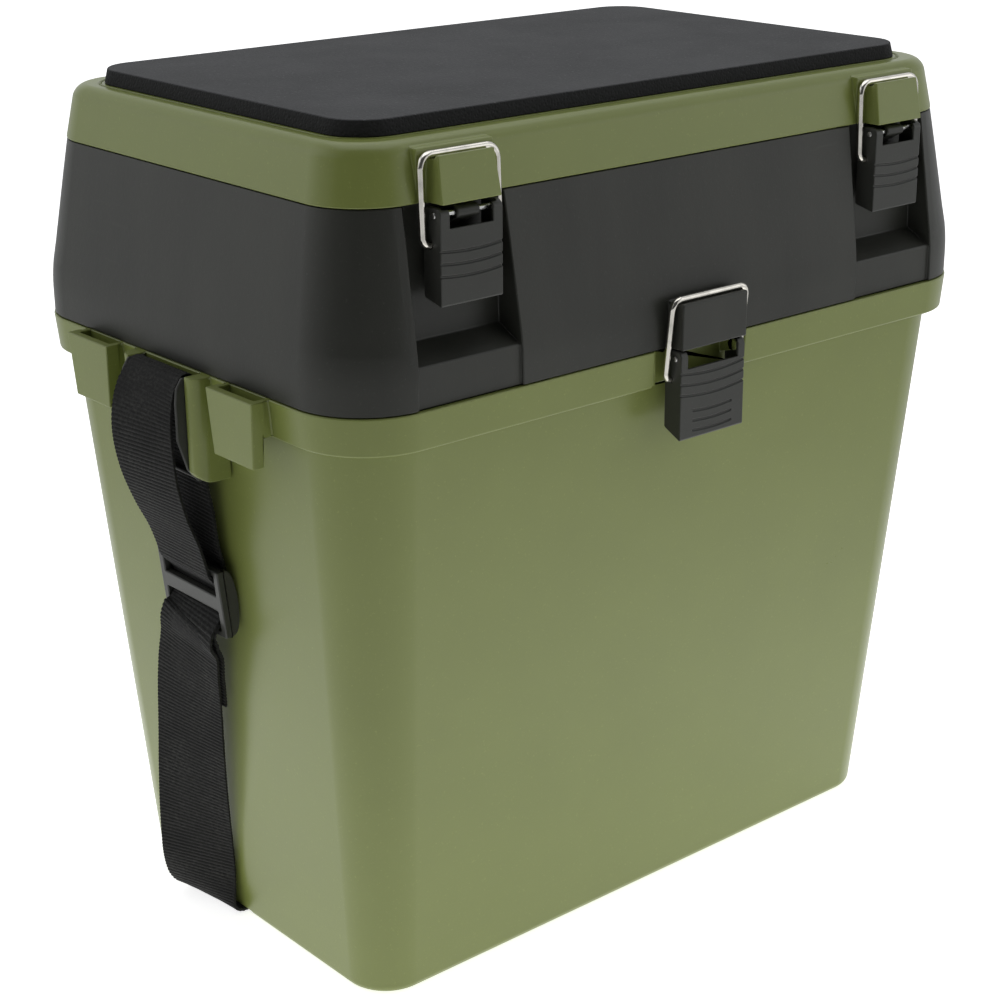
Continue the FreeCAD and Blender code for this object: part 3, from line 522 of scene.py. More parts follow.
def rounded_ring(size: Size, z: float, steps: int = 14) -> list[Vector]:
    """Outline of a rectangle with round corners.

    Args:
        size: half length, half depth and corner radius.
        z: height.
        steps: segments in each corner.

    Returns:
        The outline's points, anticlockwise seen from above.
    """
    half_x, half_y, radius = size
    points = []
    for sx, sy, start in ((1, 1, 0), (-1, 1, 90), (-1, -1, 180), (1, -1, 270)):
        for k in range(steps + 1):
            a = math.radians(start + 90 * k / steps)
            points.append(Vector((sx * (half_x - radius) + radius * math.cos(a),
                                  sy * (half_y - radius) + radius * math.sin(a), z)))
    return points


def arc_steps(start: float, end: float, count: int) -> list[float]:
    """Angles in radians from start to end degrees."""
    return [math.radians(start + (end - start) * k / count) for k in range(count + 1)]


def arc(centre: Point2, reach: Point2, start: float, end: float, count: int) -> list[Point2]:
    """Points on an elliptic arc, from the left of its centre at 0 degrees over the top at 90.

    Args:
        centre: the arc's centre.
        reach: half axes; a negative one mirrors the arc.
        start: first angle in degrees.
        end: last angle.
        count: segments.

    Returns:
        The points.
    """
    return [(centre[0] - reach[0] * math.cos(a), centre[1] + reach[1] * math.sin(a))
            for a in arc_steps(start, end, count)]


def circle(centre: Point2, radius: float, sides: int) -> list[Point2]:
    """Corners of a polygon that stands for a circle."""
    return [(centre[0] + radius * math.cos(a), centre[1] + radius * math.sin(a))
            for a in arc_steps(0, 360, sides)[:-1]]


def rounded_foot(size: Size, z: float, radius: float, count: int) -> list[Section]:
    """Sections that round the lower edge of a shell.

    Args:
        size: outline above the edge.
        z: height of the foot.
        radius: radius of the edge.
        count: facets.

    Returns:
        The sections, upwards.
    """
    return [(grow(size, radius * math.sin(a) - radius), z + radius - radius * math.cos(a))
            for a in arc_steps(0, 90, count)]


def rounded_rim(size: Size, z: float, radius: float, count: int) -> list[Section]:
    """Sections that round the upper edge of a shell.

    Args:
        size: outline under the edge.
        z: height of the rim.
        radius: radius of the edge.
        count: facets.

    Returns:
        The sections, upwards.
    """
    return [(grow(size, radius * math.cos(a) - radius), z - radius + radius * math.sin(a))
            for a in arc_steps(0, 90, count)]


def span(side: int, near: float, far: float) -> Point2:
    """Range between two distances from the middle, on one side of it."""
    return (side * near, side * far) if side > 0 else (side * far, side * near)


class Shape:
    """A closed mesh in the making, in millimetres."""

    def __init__(self, points: Sequence[Any], faces: Sequence[Sequence[int]]) -> None:
        """Makes the mesh and turns its faces outwards.

        Args:
            points: corner points.
            faces: corner numbers of each face.
        """
        mesh = bpy.data.meshes.new("stock")
        mesh.from_pydata([tuple(p) for p in points], [], [tuple(f) for f in faces])
        self.obj = new_object("stock", mesh)
        self._outwards()

    def _outwards(self) -> None:
        """Turns every face outwards."""
        edit(self.obj.data, lambda work: bmesh.ops.recalc_face_normals(work, faces=work.faces))

    @classmethod
    def loft(cls, rings: Sequence[Sequence[Vector]]) -> "Shape":
        """Solid through rings of points, closed by a face at both ends.

        Args:
            rings: the rings, all with the same count of points.

        Returns:
            The solid.
        """
        count = len(rings[0])
        points = [p for ring in rings for p in ring]
        faces = [list(range(count))[::-1], [len(points) - count + i for i in range(count)]]
        for r in range(len(rings) - 1):
            for i in range(count):
                j = (i + 1) % count
                faces.append([r * count + i, r * count + j, (r + 1) * count + j, (r + 1) * count + i])
        return cls(points, faces)

    @classmethod
    def stack(cls, sections: Sequence[Section], steps: int = 14) -> "Shape":
        """Solid through rounded rectangles given as (size, z)."""
        return cls.loft([rounded_ring(size, z, steps) for size, z in sections])

    @classmethod
    def prism_x(cls, outline: Sequence[Point2], x0: float, x1: float) -> "Shape":
        """Prism along X over a polygon of (Y, Z) points."""
        return cls.loft([[Vector((x, y, z)) for y, z in outline] for x in (x0, x1)])

    @classmethod
    def prism_y(cls, outline: Sequence[Point2], y0: float, y1: float) -> "Shape":
        """Prism along Y over a polygon of (X, Z) points."""
        return cls.loft([[Vector((x, y, z)) for x, z in outline] for y in (y0, y1)])

    @classmethod
    def prism_z(cls, outline: Sequence[Point2], z0: float, z1: float) -> "Shape":
        """Prism along Z over a polygon of (X, Y) points."""
        return cls.loft([[Vector((x, y, z)) for x, y in outline] for z in (z0, z1)])

    @classmethod
    def box(cls, x0: float, x1: float, y0: float, y1: float, z0: float, z1: float) -> "Shape":
        """Block between two corners."""
        return cls.prism_z([(x0, y0), (x1, y0), (x1, y1), (x0, y1)], z0, z1)

    @classmethod
    def rod_x(cls, x0: float, x1: float, centre: Point2, radius: float, sides: int = 28) -> "Shape":
        """Round bar along X about a (Y, Z) centre."""
        return cls.prism_x(circle(centre, radius, sides), x0, x1)

    @classmethod
    def tube(cls, path: Sequence[Vector], radius: float, sides: int = 14) -> "Shape":
        """Round wire along a path.

        Args:
            path: points of its middle line.
            radius: radius of the wire.
            sides: facets around it.

        Returns:
            The wire, closed by a face at both ends.
        """
        rings = []
        side = None
        for i, point in enumerate(path):
            ahead = (path[min(i + 1, len(path) - 1)] - path[max(i - 1, 0)]).normalized()
            if side is None:
                side = ahead.orthogonal().normalized()
            side = (side - ahead * side.dot(ahead)).normalized()
            other = ahead.cross(side)
            rings.append([point + side * (radius * math.cos(a)) + other * (radius * math.sin(a))
                          for a in arc_steps(0, 360, sides)[:-1]])
        return cls.loft(rings)

    def _joined(self, others: Iterable["Shape"], operation: str) -> "Shape":
        """Runs one boolean for each other shape.

        Args:
            others: the other shapes, which are used up.
            operation: the boolean's name in Blender.

        Returns:
            The shape itself.
        """
        used = list(others)
        for other in used:
            step = self.obj.modifiers.new("step", "BOOLEAN")
            step.operation = operation
            step.solver = "EXACT"
            step.object = other.obj
        bake(self.obj)
        for other in used:
            bpy.data.objects.remove(other.obj)
        return self

    def fuse(self, *others: "Shape") -> "Shape":
        """Adds other shapes."""
        return self._joined(others, "UNION")

    def cut(self, *others: "Shape") -> "Shape":
        """Takes other shapes away."""
        return self._joined(others, "DIFFERENCE")

    def common(self, other: "Shape") -> "Shape":
        """Keeps what lies in the other shape too."""
        return self._joined([other], "INTERSECT")

    def copy(self) -> "Shape":
        """Makes a second shape with the same mesh.

        Returns:
            The second shape.
        """
        twin = Shape.__new__(Shape)
        twin.obj = new_object("stock", self.obj.data.copy())
        return twin

    def flipped(self, axis: int = 0) -> "Shape":
        """Makes a mirror image about the plane through the origin across an axis.

        Args:
            axis: number of the axis.

        Returns:
            The image, as a shape of its own.
        """
        twin = self.copy()
        scale = [1.0, 1.0, 1.0]
        scale[axis] = -1.0
        twin.obj.data.transform(Matrix.Diagonal((*scale, 1.0)))
        twin._outwards()
        return twin

    def moved(self, x: float = 0.0, y: float = 0.0, z: float = 0.0) -> "Shape":
        """Shifts the mesh."""
        self.obj.data.transform(Matrix.Translation((x, y, z)))
        return self

    def turned(self, degrees: float, axis: str) -> "Shape":
        """Turns the mesh about an axis through the origin."""
        self.obj.data.transform(Matrix.Rotation(math.radians(degrees), 4, axis))
        return self

    def sliced(self, *places: float) -> "Shape":
        """Adds edges where planes across X meet the shape, which keeps its long faces short.

        Args:
            places: the planes' places along X.

        Returns:
            The shape itself.
        """
        def bisect(work: bmesh.types.BMesh) -> None:
            """Cuts the faces at every place."""
            for x in places:
                everything = work.verts[:] + work.edges[:] + work.faces[:]
                bmesh.ops.bisect_plane(work, geom=everything, plane_co=(x, 0, 0), plane_no=(1, 0, 0))

        edit(self.obj.data, bisect)
        return self

    def finished(self, name: str, rounding: float, segments: int = 2,
                 sharp: float = 32.0) -> bpy.types.Object:
        """Rounds the edges, smooths the shading and gives the piece its real size.

        Args:
            name: the piece's name.
            rounding: width of the rounded edges in millimetres, 0 for none.
            segments: facets across a rounded edge.
            sharp: angle in degrees above which an edge is rounded.

        Returns:
            The piece, at the origin, in metres.
        """
        def mend(work: bmesh.types.BMesh) -> None:
            """Merges doubles, takes out slivers and turns the faces outwards.

            Args:
                work: the opened mesh.
            """
            bmesh.ops.remove_doubles(work, verts=work.verts, dist=0.02)
            bmesh.ops.dissolve_degenerate(work, dist=0.01, edges=work.edges)
            bmesh.ops.recalc_face_normals(work, faces=work.faces)

        obj = self.obj
        edit(obj.data, mend)
        obj.data.shade_smooth()
        obj.data.set_sharp_from_angle(angle=math.radians(sharp))
        if rounding > 0:
            edge = obj.modifiers.new("edges", "BEVEL")
            edge.width = rounding
            edge.segments = segments
            edge.limit_method = "ANGLE"
            edge.angle_limit = math.radians(sharp)
            edge.use_clamp_overlap = False
            edge.miter_outer = "MITER_ARC"
        shade = obj.modifiers.new("shade", "WEIGHTED_NORMAL")
        shade.keep_sharp = True
        shade.weight = 60
        mesh = bake(obj)
        mesh.transform(Matrix.Scale(MM, 4))
        obj.name = name
        mesh.name = name
        return obj


class Workshop:
    """Hands finished pieces to the frame."""

    def __init__(self, finishes: Finishes) -> None:
        """Keeps the finishes.

        Args:
            finishes: the finishes that pieces are dressed in.
        """
        self.finishes = finishes

    def hand_over(self, obj: bpy.types.Object, finish: Finish, body: str, nodes: Sequence[str]) -> None:
        """Dresses a piece, sets it on its body and hides the nodes it stands for.

        Args:
            obj: the piece.
            finish: its finish.
            body: the body it moves with.
            nodes: the nodes it replaces.
        """
        obj.data.materials.clear()
        obj.data.materials.append(self.finishes.material(finish))
        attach(obj, body)
        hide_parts(*nodes)
        LOG.info("%s: %d faces on %s", obj.name, len(obj.data.polygons), body)


def knuckle(web: Sequence[Point2], centre: Point2, radius: float, reach: Point2) -> Shape:
    """Hinge knuckle: a web with a round barrel on its end, over a range of X."""
    return Shape.prism_x(web, *reach).fuse(Shape.rod_x(*reach, centre, radius))


# The bucket


@dataclass
class Bucket:
    """Tapered bucket with its collar, end fittings, latch notch and rear knuckles.

    Attributes:
        foot: outline of the tub on the floor.
        neck: outline of the tub under the collar.
        neck_z: height of the neck.
        foot_round: radius of the tub's lower edge.
        collar_foot: outline of the collar at its lower edge.
        collar_rim: outline of the collar at its rim.
        top_z: height of the rim.
        shelf_z: height of the step inside the collar.
        collar_edge: radius of the collar's lower edge.
        rim_edge: radius of the rim's edge.
        wall: thickness of the walls.
        floor_z: height of the floor inside.
        floor_round: radius where the floor meets the walls inside.
        recess: outline of the hollow under the floor.
        recess_depth: its depth.
        socket_y: distance of the accessory sockets from the middle.
        notch_half: half width of the latch notch.
        notch_back: back of the latch notch.
    """

    foot: Size = (159.0, 94.0, 21.0)
    neck: Size = (178.0, 114.5, 31.0)
    neck_z: float = 257.0
    foot_round: float = 4.0
    collar_foot: Size = (183.3, 121.0, 33.0)
    collar_rim: Size = (184.6, 121.9, 33.6)
    top_z: float = 272.8
    shelf_z: float = 260.5
    collar_edge: float = 0.9
    rim_edge: float = 0.6
    wall: float = 3.0
    floor_z: float = 6.5
    floor_round: float = 3.0
    recess: Size = (148.0, 84.0, 14.0)
    recess_depth: float = 2.4
    socket_y: float = 54.0
    notch_half: float = 27.3
    notch_back: float = -115.8

    def size_at(self, z: float) -> Size:
        """Outline of the tub at a height."""
        return blend_size(self.foot, self.neck, z / self.neck_z)

    def shell(self) -> Shape:
        """Lofts the tub, the collar and the hollow as one shell.

        Returns:
            The shell.
        """
        sections = [(self.recess, self.recess_depth), (self.recess, 0.5), (grow(self.recess, 0.5), 0.0)]
        r = self.foot_round
        for a in arc_steps(0, 90, 6):
            z = r - r * math.cos(a)
            sections.append((grow(self.size_at(z), r * math.sin(a) - r), z))
        sections += [(self.size_at(z), z) for z in (32.0, 64.0, 96.0, 128.0, 160.0, 192.0, 224.0, 250.0)]
        sections += [(grow(self.neck, 0.0), self.neck_z - 0.8), (grow(self.neck, 0.8), self.neck_z)]
        sections += rounded_foot(self.collar_foot, self.neck_z, self.collar_edge, 4)
        sections += rounded_rim(self.collar_rim, self.top_z, self.rim_edge, 4)
        inner_neck = grow(self.neck, -self.wall)
        sections += [(grow(self.collar_rim, -self.wall + 0.5), self.top_z),
                     (grow(self.collar_rim, -self.wall), self.top_z - 0.5),
                     (grow(self.collar_foot, -self.wall), self.shelf_z),
                     (inner_neck, self.shelf_z), (inner_neck, self.neck_z)]
        sections += [(grow(self.size_at(z), -self.wall), z) for z in (200.0, 140.0, 80.0, 20.0)]
        inner = grow(self.size_at(self.floor_z), -self.wall)
        sections += rounded_foot(inner, self.floor_z, self.floor_round, 4)[::-1]
        return Shape.stack(sections, SHELL_STEPS)

    def socket(self) -> tuple[Shape, Shape]:
        """Builds an accessory socket of the -X end about Y = 0.

        Returns:
            The sleeve, and the slot to be cut into it.
        """
        rings = []
        for half, front, z in ((13.7, -192.2, 245.0), (16.1, -193.3, self.top_z - 0.1)):
            rings.append([Vector((front, -half, z)), Vector((-187.0, -half, z)), Vector((-187.0, half, z)),
                          Vector((front, half, z))])
        plate = Shape.box(-187.6, -178.0, -15.0, 15.0, self.neck_z + 0.4, self.top_z - 0.11)
        return Shape.loft(rings).fuse(plate), Shape.box(-189.5, -183.9, -12.4, 12.4, 240.0, 275.0)

    def cheek(self) -> Shape:
        """Builds the rounded cheek beside the strap on the -X end.

        Returns:
            The cheek on the +Y side of the strap.
        """
        near, far, front, outer, inner = 20.9, 28.3, -192.8, 6.0, 1.2
        outline = [(-177.0, near), (-177.0, far)]
        outline += arc((front + outer, far - outer), (outer, outer), 90, 0, 10)
        outline += arc((front + inner, near + inner), (inner, -inner), 0, 90, 4)
        block = Shape.prism_z(outline, 227.6, self.top_z - 0.12)
        under = [(-195.0, 226.0), (-195.0, 235.5)] + arc((-185.0, 235.5), (8.2, -7.4), 12, 90, 6)
        return block.cut(Shape.prism_y(under + [(-176.0, 228.0), (-176.0, 226.0)], near - 1, far + 1))

    def front_fittings(self) -> list[Shape]:
        """Builds the ears for the lower lever and the ribs beside its bail.

        Returns:
            The ears and the ribs.
        """
        back, front = self.notch_back + 0.6, LOWER_PIN[0]
        web = [(back, 263.5), (front, 266.5), (front, 271.5), (back, 271.5)]
        parts = []
        for side in SIDES:
            parts.append(knuckle(web, LOWER_PIN, 2.5, span(side, 15.0, 16.6)))
            parts.append(Shape.box(*span(side, 25.0, 26.6), -120.2, back, 257.5, 272.6))
        return parts

    def rear_knuckles(self) -> list[Shape]:
        """Builds the middle knuckles of the tray hinge.

        Returns:
            The two knuckles.
        """
        y, z = TRAY_AXIS
        web = [(120.0, 263.5), (120.0, 272.4), (122.0, 272.6), (y, z), (y + TRAY_BARREL, z),
               (y + TRAY_BARREL - 0.6, z - 2.2)]
        return [knuckle(web, TRAY_AXIS, TRAY_BARREL, span(side, 118.0, 138.0)) for side in SIDES]

    def mouth(self) -> Shape:
        """Builds the hollow that trims what the fittings add inside.

        Returns:
            The hollow's upper part.
        """
        w = self.wall
        neck = grow(self.neck, -w)
        return Shape.stack([(grow(self.size_at(240.0), -w), 240.0), (neck, self.neck_z), (neck, self.shelf_z),
                            (grow(self.collar_foot, -w), self.shelf_z + 0.02),
                            (grow(self.collar_rim, -w), self.top_z + 2)], SHELL_STEPS)

    def build(self, shop: Workshop) -> None:
        """Makes the bucket and hands it over.

        Args:
            shop: the workshop that dresses it.
        """
        blocks: list[Shape] = []
        slots: list[Shape] = []
        shell = self.shell()
        for side in SIDES:
            block, slot = self.socket()
            blocks.append(block.moved(y=side * self.socket_y))
            slots.append(slot.moved(y=side * self.socket_y))
        cheek = self.cheek()
        blocks += [cheek, cheek.flipped(1)]
        blocks += [b.flipped() for b in blocks]
        slots += [s.flipped() for s in slots]
        backing = Shape.box(-31.0, 31.0, -119.6, -112.8, self.neck_z + 0.3, self.top_z - 0.02)
        notch = Shape.box(-self.notch_half, self.notch_half, -130.0, self.notch_back, 255.0, 277.0)
        filler = Shape.box(-25.2, 25.2, -118.2, self.notch_back + 0.5, 257.8, self.top_z - 0.3)
        strap_channel = Shape.box(-170.0, 170.0, 3.0, 52.0, -1.0, self.recess_depth - 0.01)
        shell.fuse(*blocks).cut(self.mouth())
        shell.fuse(backing).cut(notch)
        shell.fuse(filler, *self.front_fittings())
        shell.fuse(*self.rear_knuckles())
        shell.cut(*slots).cut(strap_channel)
        piece = shell.finished("bucket_shell_visual", 0.45)
        shop.hand_over(piece, shop.finishes.green, "bucket", ["bucket_shell"])


# The tray section


@dataclass
class Tray:
    """Section between bucket and lid, with latch recesses, keeper, lugs and knuckles.

    Attributes:
        skirt: outline of the upright lower part.
        rim: outline of the rim.
        foot_z: height of the foot.
        flare_z: height about which the wall turns inwards.
        flare: half height of that turn.
        rim_z: height of the rim.
        wall: thickness of the walls.
        floor: thickness of the floor.
        recess_x: distance of a latch recess from the middle.
        recess_half: half width of the block that backs a recess.
        recess_back: back of the recess.
    """

    skirt: Size = (184.2, 121.5, 33.4)
    rim: Size = (174.6, 112.0, 27.5)
    foot_z: float = 273.1
    flare_z: float = 290.0
    flare: float = 7.0
    rim_z: float = 350.0
    wall: float = 3.0
    floor: float = 3.0
    recess_x: float = 125.2
    recess_half: float = 29.2
    recess_back: float = -107.2

    def outer_sections(self) -> list[Section]:
        """Outline of the section from its foot to its rim, with soft edges.

        Returns:
            The sections, upwards.
        """
        height = self.rim_z - self.flare_z
        sections = rounded_foot(self.skirt, self.foot_z, 0.7, 3)
        for t in (-1.0, -0.7, -0.4, -0.1, 0.2, 0.5, 0.75, 1.0):
            drop = (1 + t) ** 2 / 4 * self.flare * (self.skirt[0] - self.rim[0]) / height
            sections.append((grow(self.skirt, -drop), self.flare_z + self.flare * t))
        for t in (0.25, 0.5, 0.75):
            sections.append((blend_size(self.skirt, self.rim, t), self.flare_z + height * t))
        return sections + rounded_rim(self.rim, self.rim_z, 0.6, 3)

    def shell(self) -> Shape:
        """Lofts the spigot, skirt, rim, lip and hollow as one shell.

        Returns:
            The shell.
        """
        spigot_out, spigot_in, spigot_z = (180.9, 118.2, 30.0), (178.5, 115.8, 27.6), 268.5
        lip_out, lip_in, lip_z = (169.6, 107.0, 23.4), (167.4, 104.8, 21.2), 353.4
        sections = [(spigot_in, self.foot_z), (spigot_in, spigot_z), (grow(spigot_out, -0.4), spigot_z),
                    (spigot_out, self.foot_z)]
        sections += self.outer_sections()
        sections += [(lip_out, self.rim_z), (grow(lip_out, -0.4), lip_z), (lip_in, lip_z), (lip_in, 346.5)]
        inner_rim = grow(self.rim, -self.wall)
        inner_skirt = grow(self.skirt, -self.wall)
        sections += [(blend_size(inner_skirt, inner_rim, 0.94), 346.45), (inner_skirt, self.flare_z),
                     (inner_skirt, self.foot_z + self.floor + 2.0),
                     (grow(inner_skirt, -2.0), self.foot_z + self.floor)]
        return Shape.stack(sections, SHELL_STEPS)

    def recess(self) -> tuple[Shape, Shape]:
        """Builds the cuts of the latch recess on the -X half.

        Returns:
            The deep pocket, and the shallow column under it.
        """
        front, back, x = -130.0, self.recess_back, self.recess_x
        profile = [(front, 351.0), (back, 351.0), (back, 296.3), (-120.9, 289.4), (front, 284.8)]
        column = [(front, 272.0), (-120.1, 272.0), (-120.1, 289.9), (front, 289.9)]
        plan = [(-x - 26.2, 270.3), (-x + 26.2, 270.3), (-x + 24.4, 352.0), (-x - 24.4, 352.0)]
        deep, shallow = (Shape.prism_x(outline, -x - 40, -x + 40).common(Shape.prism_y(plan, -140.0, -100.0))
                         for outline in (profile, column))
        return deep, shallow

    def keeper(self) -> Shape:
        """Builds the block that the lower bail hooks over.

        Returns:
            The block.
        """
        top, front = 293.05, -130.0
        outline = [(front, 273.2)] + arc((front + 1.0, top - 1.0), (1.0, 1.0), 0, 90, 5)
        outline += [(-117.5, top), (-118.5, 275.5), (-121.9, 275.5), (-122.6, 273.2)]
        return Shape.prism_x(outline, -19.0, 19.0)

    def fittings(self) -> list[Shape]:
        """Builds the lugs of the upper levers and the knuckles of both rear hinges.

        Returns:
            The lugs and the knuckles.
        """
        parts = []
        back, front = self.recess_back + 0.5, UPPER_PIN[0]
        lug = [(back, 338.0), (front, 343.6), (front, 348.4), (back, 348.4)]
        y, z = TRAY_AXIS
        tray_web = [(118.6, 275.2), (118.6, 288.0), (y + 1.0, z + TRAY_BARREL - 0.1), (y, z),
                    (y - TRAY_BARREL + 0.3, 275.2)]
        y, z = LID_AXIS
        lid_web = [(111.2, 334.0), (111.2, 349.5), (y - LID_BARREL + 0.3, 349.5), (y, z), (y + LID_BARREL, z),
                   (y + LID_BARREL - 0.5, z - 1.8), (114.6, 336.5)]
        for side in SIDES:
            middle = side * UPPER_LATCH_X
            parts.append(knuckle(lug, UPPER_PIN, 2.4, (middle - 5.5, middle + 5.5)))
            for near, far in ((98.2, 117.6), (138.4, 157.8)):
                parts.append(knuckle(tray_web, TRAY_AXIS, TRAY_BARREL, span(side, near, far)))
            parts.append(knuckle(lid_web, LID_AXIS, LID_BARREL, span(side, 103.0, 123.0)))
        return parts

    def build(self, shop: Workshop) -> None:
        """Makes the section and hands it over.

        Args:
            shop: the workshop that dresses it.
        """
        shell = self.shell().sliced(-90.0, -40.0, -24.0, 24.0, 40.0, 90.0)
        body = Shape.stack(self.outer_sections(), SHELL_STEPS)
        x, half = self.recess_x, self.recess_half
        room = Shape.box(-x - half, -x + half, -125.0, self.recess_back + 3.0, self.foot_z + 0.1,
                         self.rim_z - 0.1).common(body)
        spigot_gap = Shape.box(-33.0, 33.0, -130.0, -105.0, 267.0, self.foot_z - 0.05)
        shell.fuse(room.flipped(), room, self.keeper()).cut(spigot_gap)
        deep, shallow = self.recess()
        shell.cut(deep.flipped(), deep, shallow.flipped(), shallow)
        shell.fuse(*self.fittings())
        piece = shell.finished("tray_shell_visual", 0.5)
        shop.hand_over(piece, shop.finishes.black, "tray", ["tray_shell"])


# The lid and its pad


@dataclass
class Lid:
    """Shallow lid with two keeper blocks and rear knuckles.

    Attributes:
        foot: outline of the lid's foot.
        shoulder: outline that the wall leans towards at the top.
        foot_z: height of the foot.
        top_z: height of the flat top.
        edge: radius of the upper edge.
        pad_seat: outline of the ledge around the pad.
    """

    foot: Size = (174.6, 112.0, 27.5)
    shoulder: Size = (170.2, 107.6, 24.6)
    foot_z: float = 350.35
    top_z: float = 373.4
    edge: float = 5.5
    pad_seat: Size = (162.0, 98.3, 21.3)

    def size_at(self, z: float) -> Size:
        """Outline of the lid's wall at a height."""
        return blend_size(self.foot, self.shoulder, (z - self.foot_z) / (self.top_z - self.foot_z))

    def outer_sections(self) -> list[Section]:
        """Outline of the lid from its foot to its flat top.

        Returns:
            The sections, upwards.
        """
        sections = rounded_foot(self.foot, self.foot_z, 0.6, 3)
        for a in arc_steps(0, 90, 8):
            z = self.top_z - self.edge + self.edge * math.sin(a)
            sections.append((grow(self.size_at(z), self.edge * (math.cos(a) - 1)), z))
        return sections

    def shell(self) -> Shape:
        """Lofts the lid's skin with its hollow.

        Returns:
            The shell.
        """
        ceiling = self.top_z - 3.4
        size = self.size_at(ceiling)
        sections = [(grow(size, -5.6), ceiling), (grow(size, -3.6), ceiling - 2.0),
                    (grow(self.foot, -3.0), self.foot_z)]
        return Shape.stack(sections + self.outer_sections(), SHELL_STEPS)

    def keeper(self) -> Shape:
        """Builds the keeper block and its backplate on the -X half.

        Returns:
            Both as one shape.
        """
        back, seat, top, front, r = -106.5, 366.9, 370.9, -111.3, 1.6
        outline = [(-121.4, 350.35), (-118.1, 368.3), (-116.5, 368.3), (-115.6, seat), (back, seat),
                   (back, 350.35)]
        block = Shape.prism_x(outline, -17.0, 17.0)
        plan = [(-14.6, 349.0), (14.6, 349.0), (13.5, 370.0), (-13.5, 370.0)]
        block.common(Shape.prism_y(plan, -130.0, -100.0))
        plate = [(front, 351.0)] + arc((front + r, top - r), (r, r), 0, 90, 5) + [(back, top), (back, 351.0)]
        block.fuse(Shape.prism_x(plate, -18.8, 18.8))
        block.cut(Shape.box(-30.0, 30.0, -111.8, -105.0, 348.0, self.foot_z + 0.02))
        return block.moved(x=-UPPER_LATCH_X)

    def knuckles(self) -> list[Shape]:
        """Builds the outer knuckles of the lid hinge.

        Returns:
            The four knuckles.
        """
        y, z = LID_AXIS
        web = [(109.6, self.foot_z + 0.3), (108.6, 362.0), (y + 0.8, z + LID_BARREL - 0.1), (y, z),
               (y - LID_BARREL + 0.3, z + 0.5)]
        return [knuckle(web, LID_AXIS, LID_BARREL, span(side, near, far))
                for side in SIDES for near, far in ((88.2, 102.6), (123.4, 137.8))]

    def build(self, shop: Workshop) -> None:
        """Makes the lid and hands it over.

        Args:
            shop: the workshop that dresses it.
        """
        shell = self.shell().sliced(-96.0, -80.0, 80.0, 96.0)
        keeper = self.keeper()
        shell.fuse(keeper, keeper.flipped(), *self.knuckles())
        top, ledge = self.top_z, grow(self.pad_seat, -0.8)
        groove = Shape.stack([(self.pad_seat, top - 0.4), (self.pad_seat, top + 2)])
        groove.cut(Shape.stack([(ledge, top - 1), (ledge, top + 3)]))
        shell.cut(groove)
        mouth = grow(self.foot, -3.02)
        hollow = [(mouth, self.foot_z - 3), (mouth, self.foot_z), (grow(self.shoulder, -3.2), top - 5.6)]
        shell.cut(Shape.stack(hollow, SHELL_STEPS))
        piece = shell.finished("lid_shell_visual", 0.45)
        shop.hand_over(piece, shop.finishes.green, "lid", ["lid_shell"])


@dataclass
class SeatPad:
    """Foam sheet on the lid: slanted cut edges, and a top with the slight waves of a glued sheet.

    Attributes:
        size: outline of the sheet's foot.
        foot_z: height of the foot.
        top_z: height of the top.
        edge: radius of the upper edge.
        slant: how far the cut edge leans inwards.
        wave: height of the waves.
        steps: facets of each corner.
    """

    size: Size = (159.6, 95.9, 18.9)
    foot_z: float = 373.45
    top_z: float = 380.0
    edge: float = 0.8
    slant: float = 1.3
    wave: float = 0.16
    steps: int = 18

    def build(self, shop: Workshop) -> None:
        """Args:
            shop: the workshop that dresses it.
        """
        rings = [rounded_ring(grow(self.size, -0.3), self.foot_z, self.steps),
                 rounded_ring(self.size, self.foot_z + 0.4, self.steps)]
        for a in arc_steps(0, 90, 5):
            rings.append(rounded_ring(grow(self.size, self.edge * (math.cos(a) - 1) - self.slant),
                                      self.top_z - 0.12 - self.edge + self.edge * math.sin(a), self.steps))
        for inset in (5.0, 10.0, 18.0, 28.0, 40.0, 52.0, 64.0, 76.0, 86.0):
            size = (self.size[0] - inset, self.size[1] - inset, max(2.0, self.size[2] - inset * 0.2))
            ring = rounded_ring(size, self.top_z, self.steps)
            for p in ring:
                p.z = self.top_z - 0.2 + self.wave * (math.sin(p.x / 31.0 + 0.6) * math.cos(p.y / 23.0 - 0.4))
            rings.append(ring)
        piece = Shape.loft(rings).finished("seat_pad_visual", 0.0, sharp=60.0)
        shop.hand_over(piece, shop.finishes.foam, "lid", ["seat_pad"])


# Latches


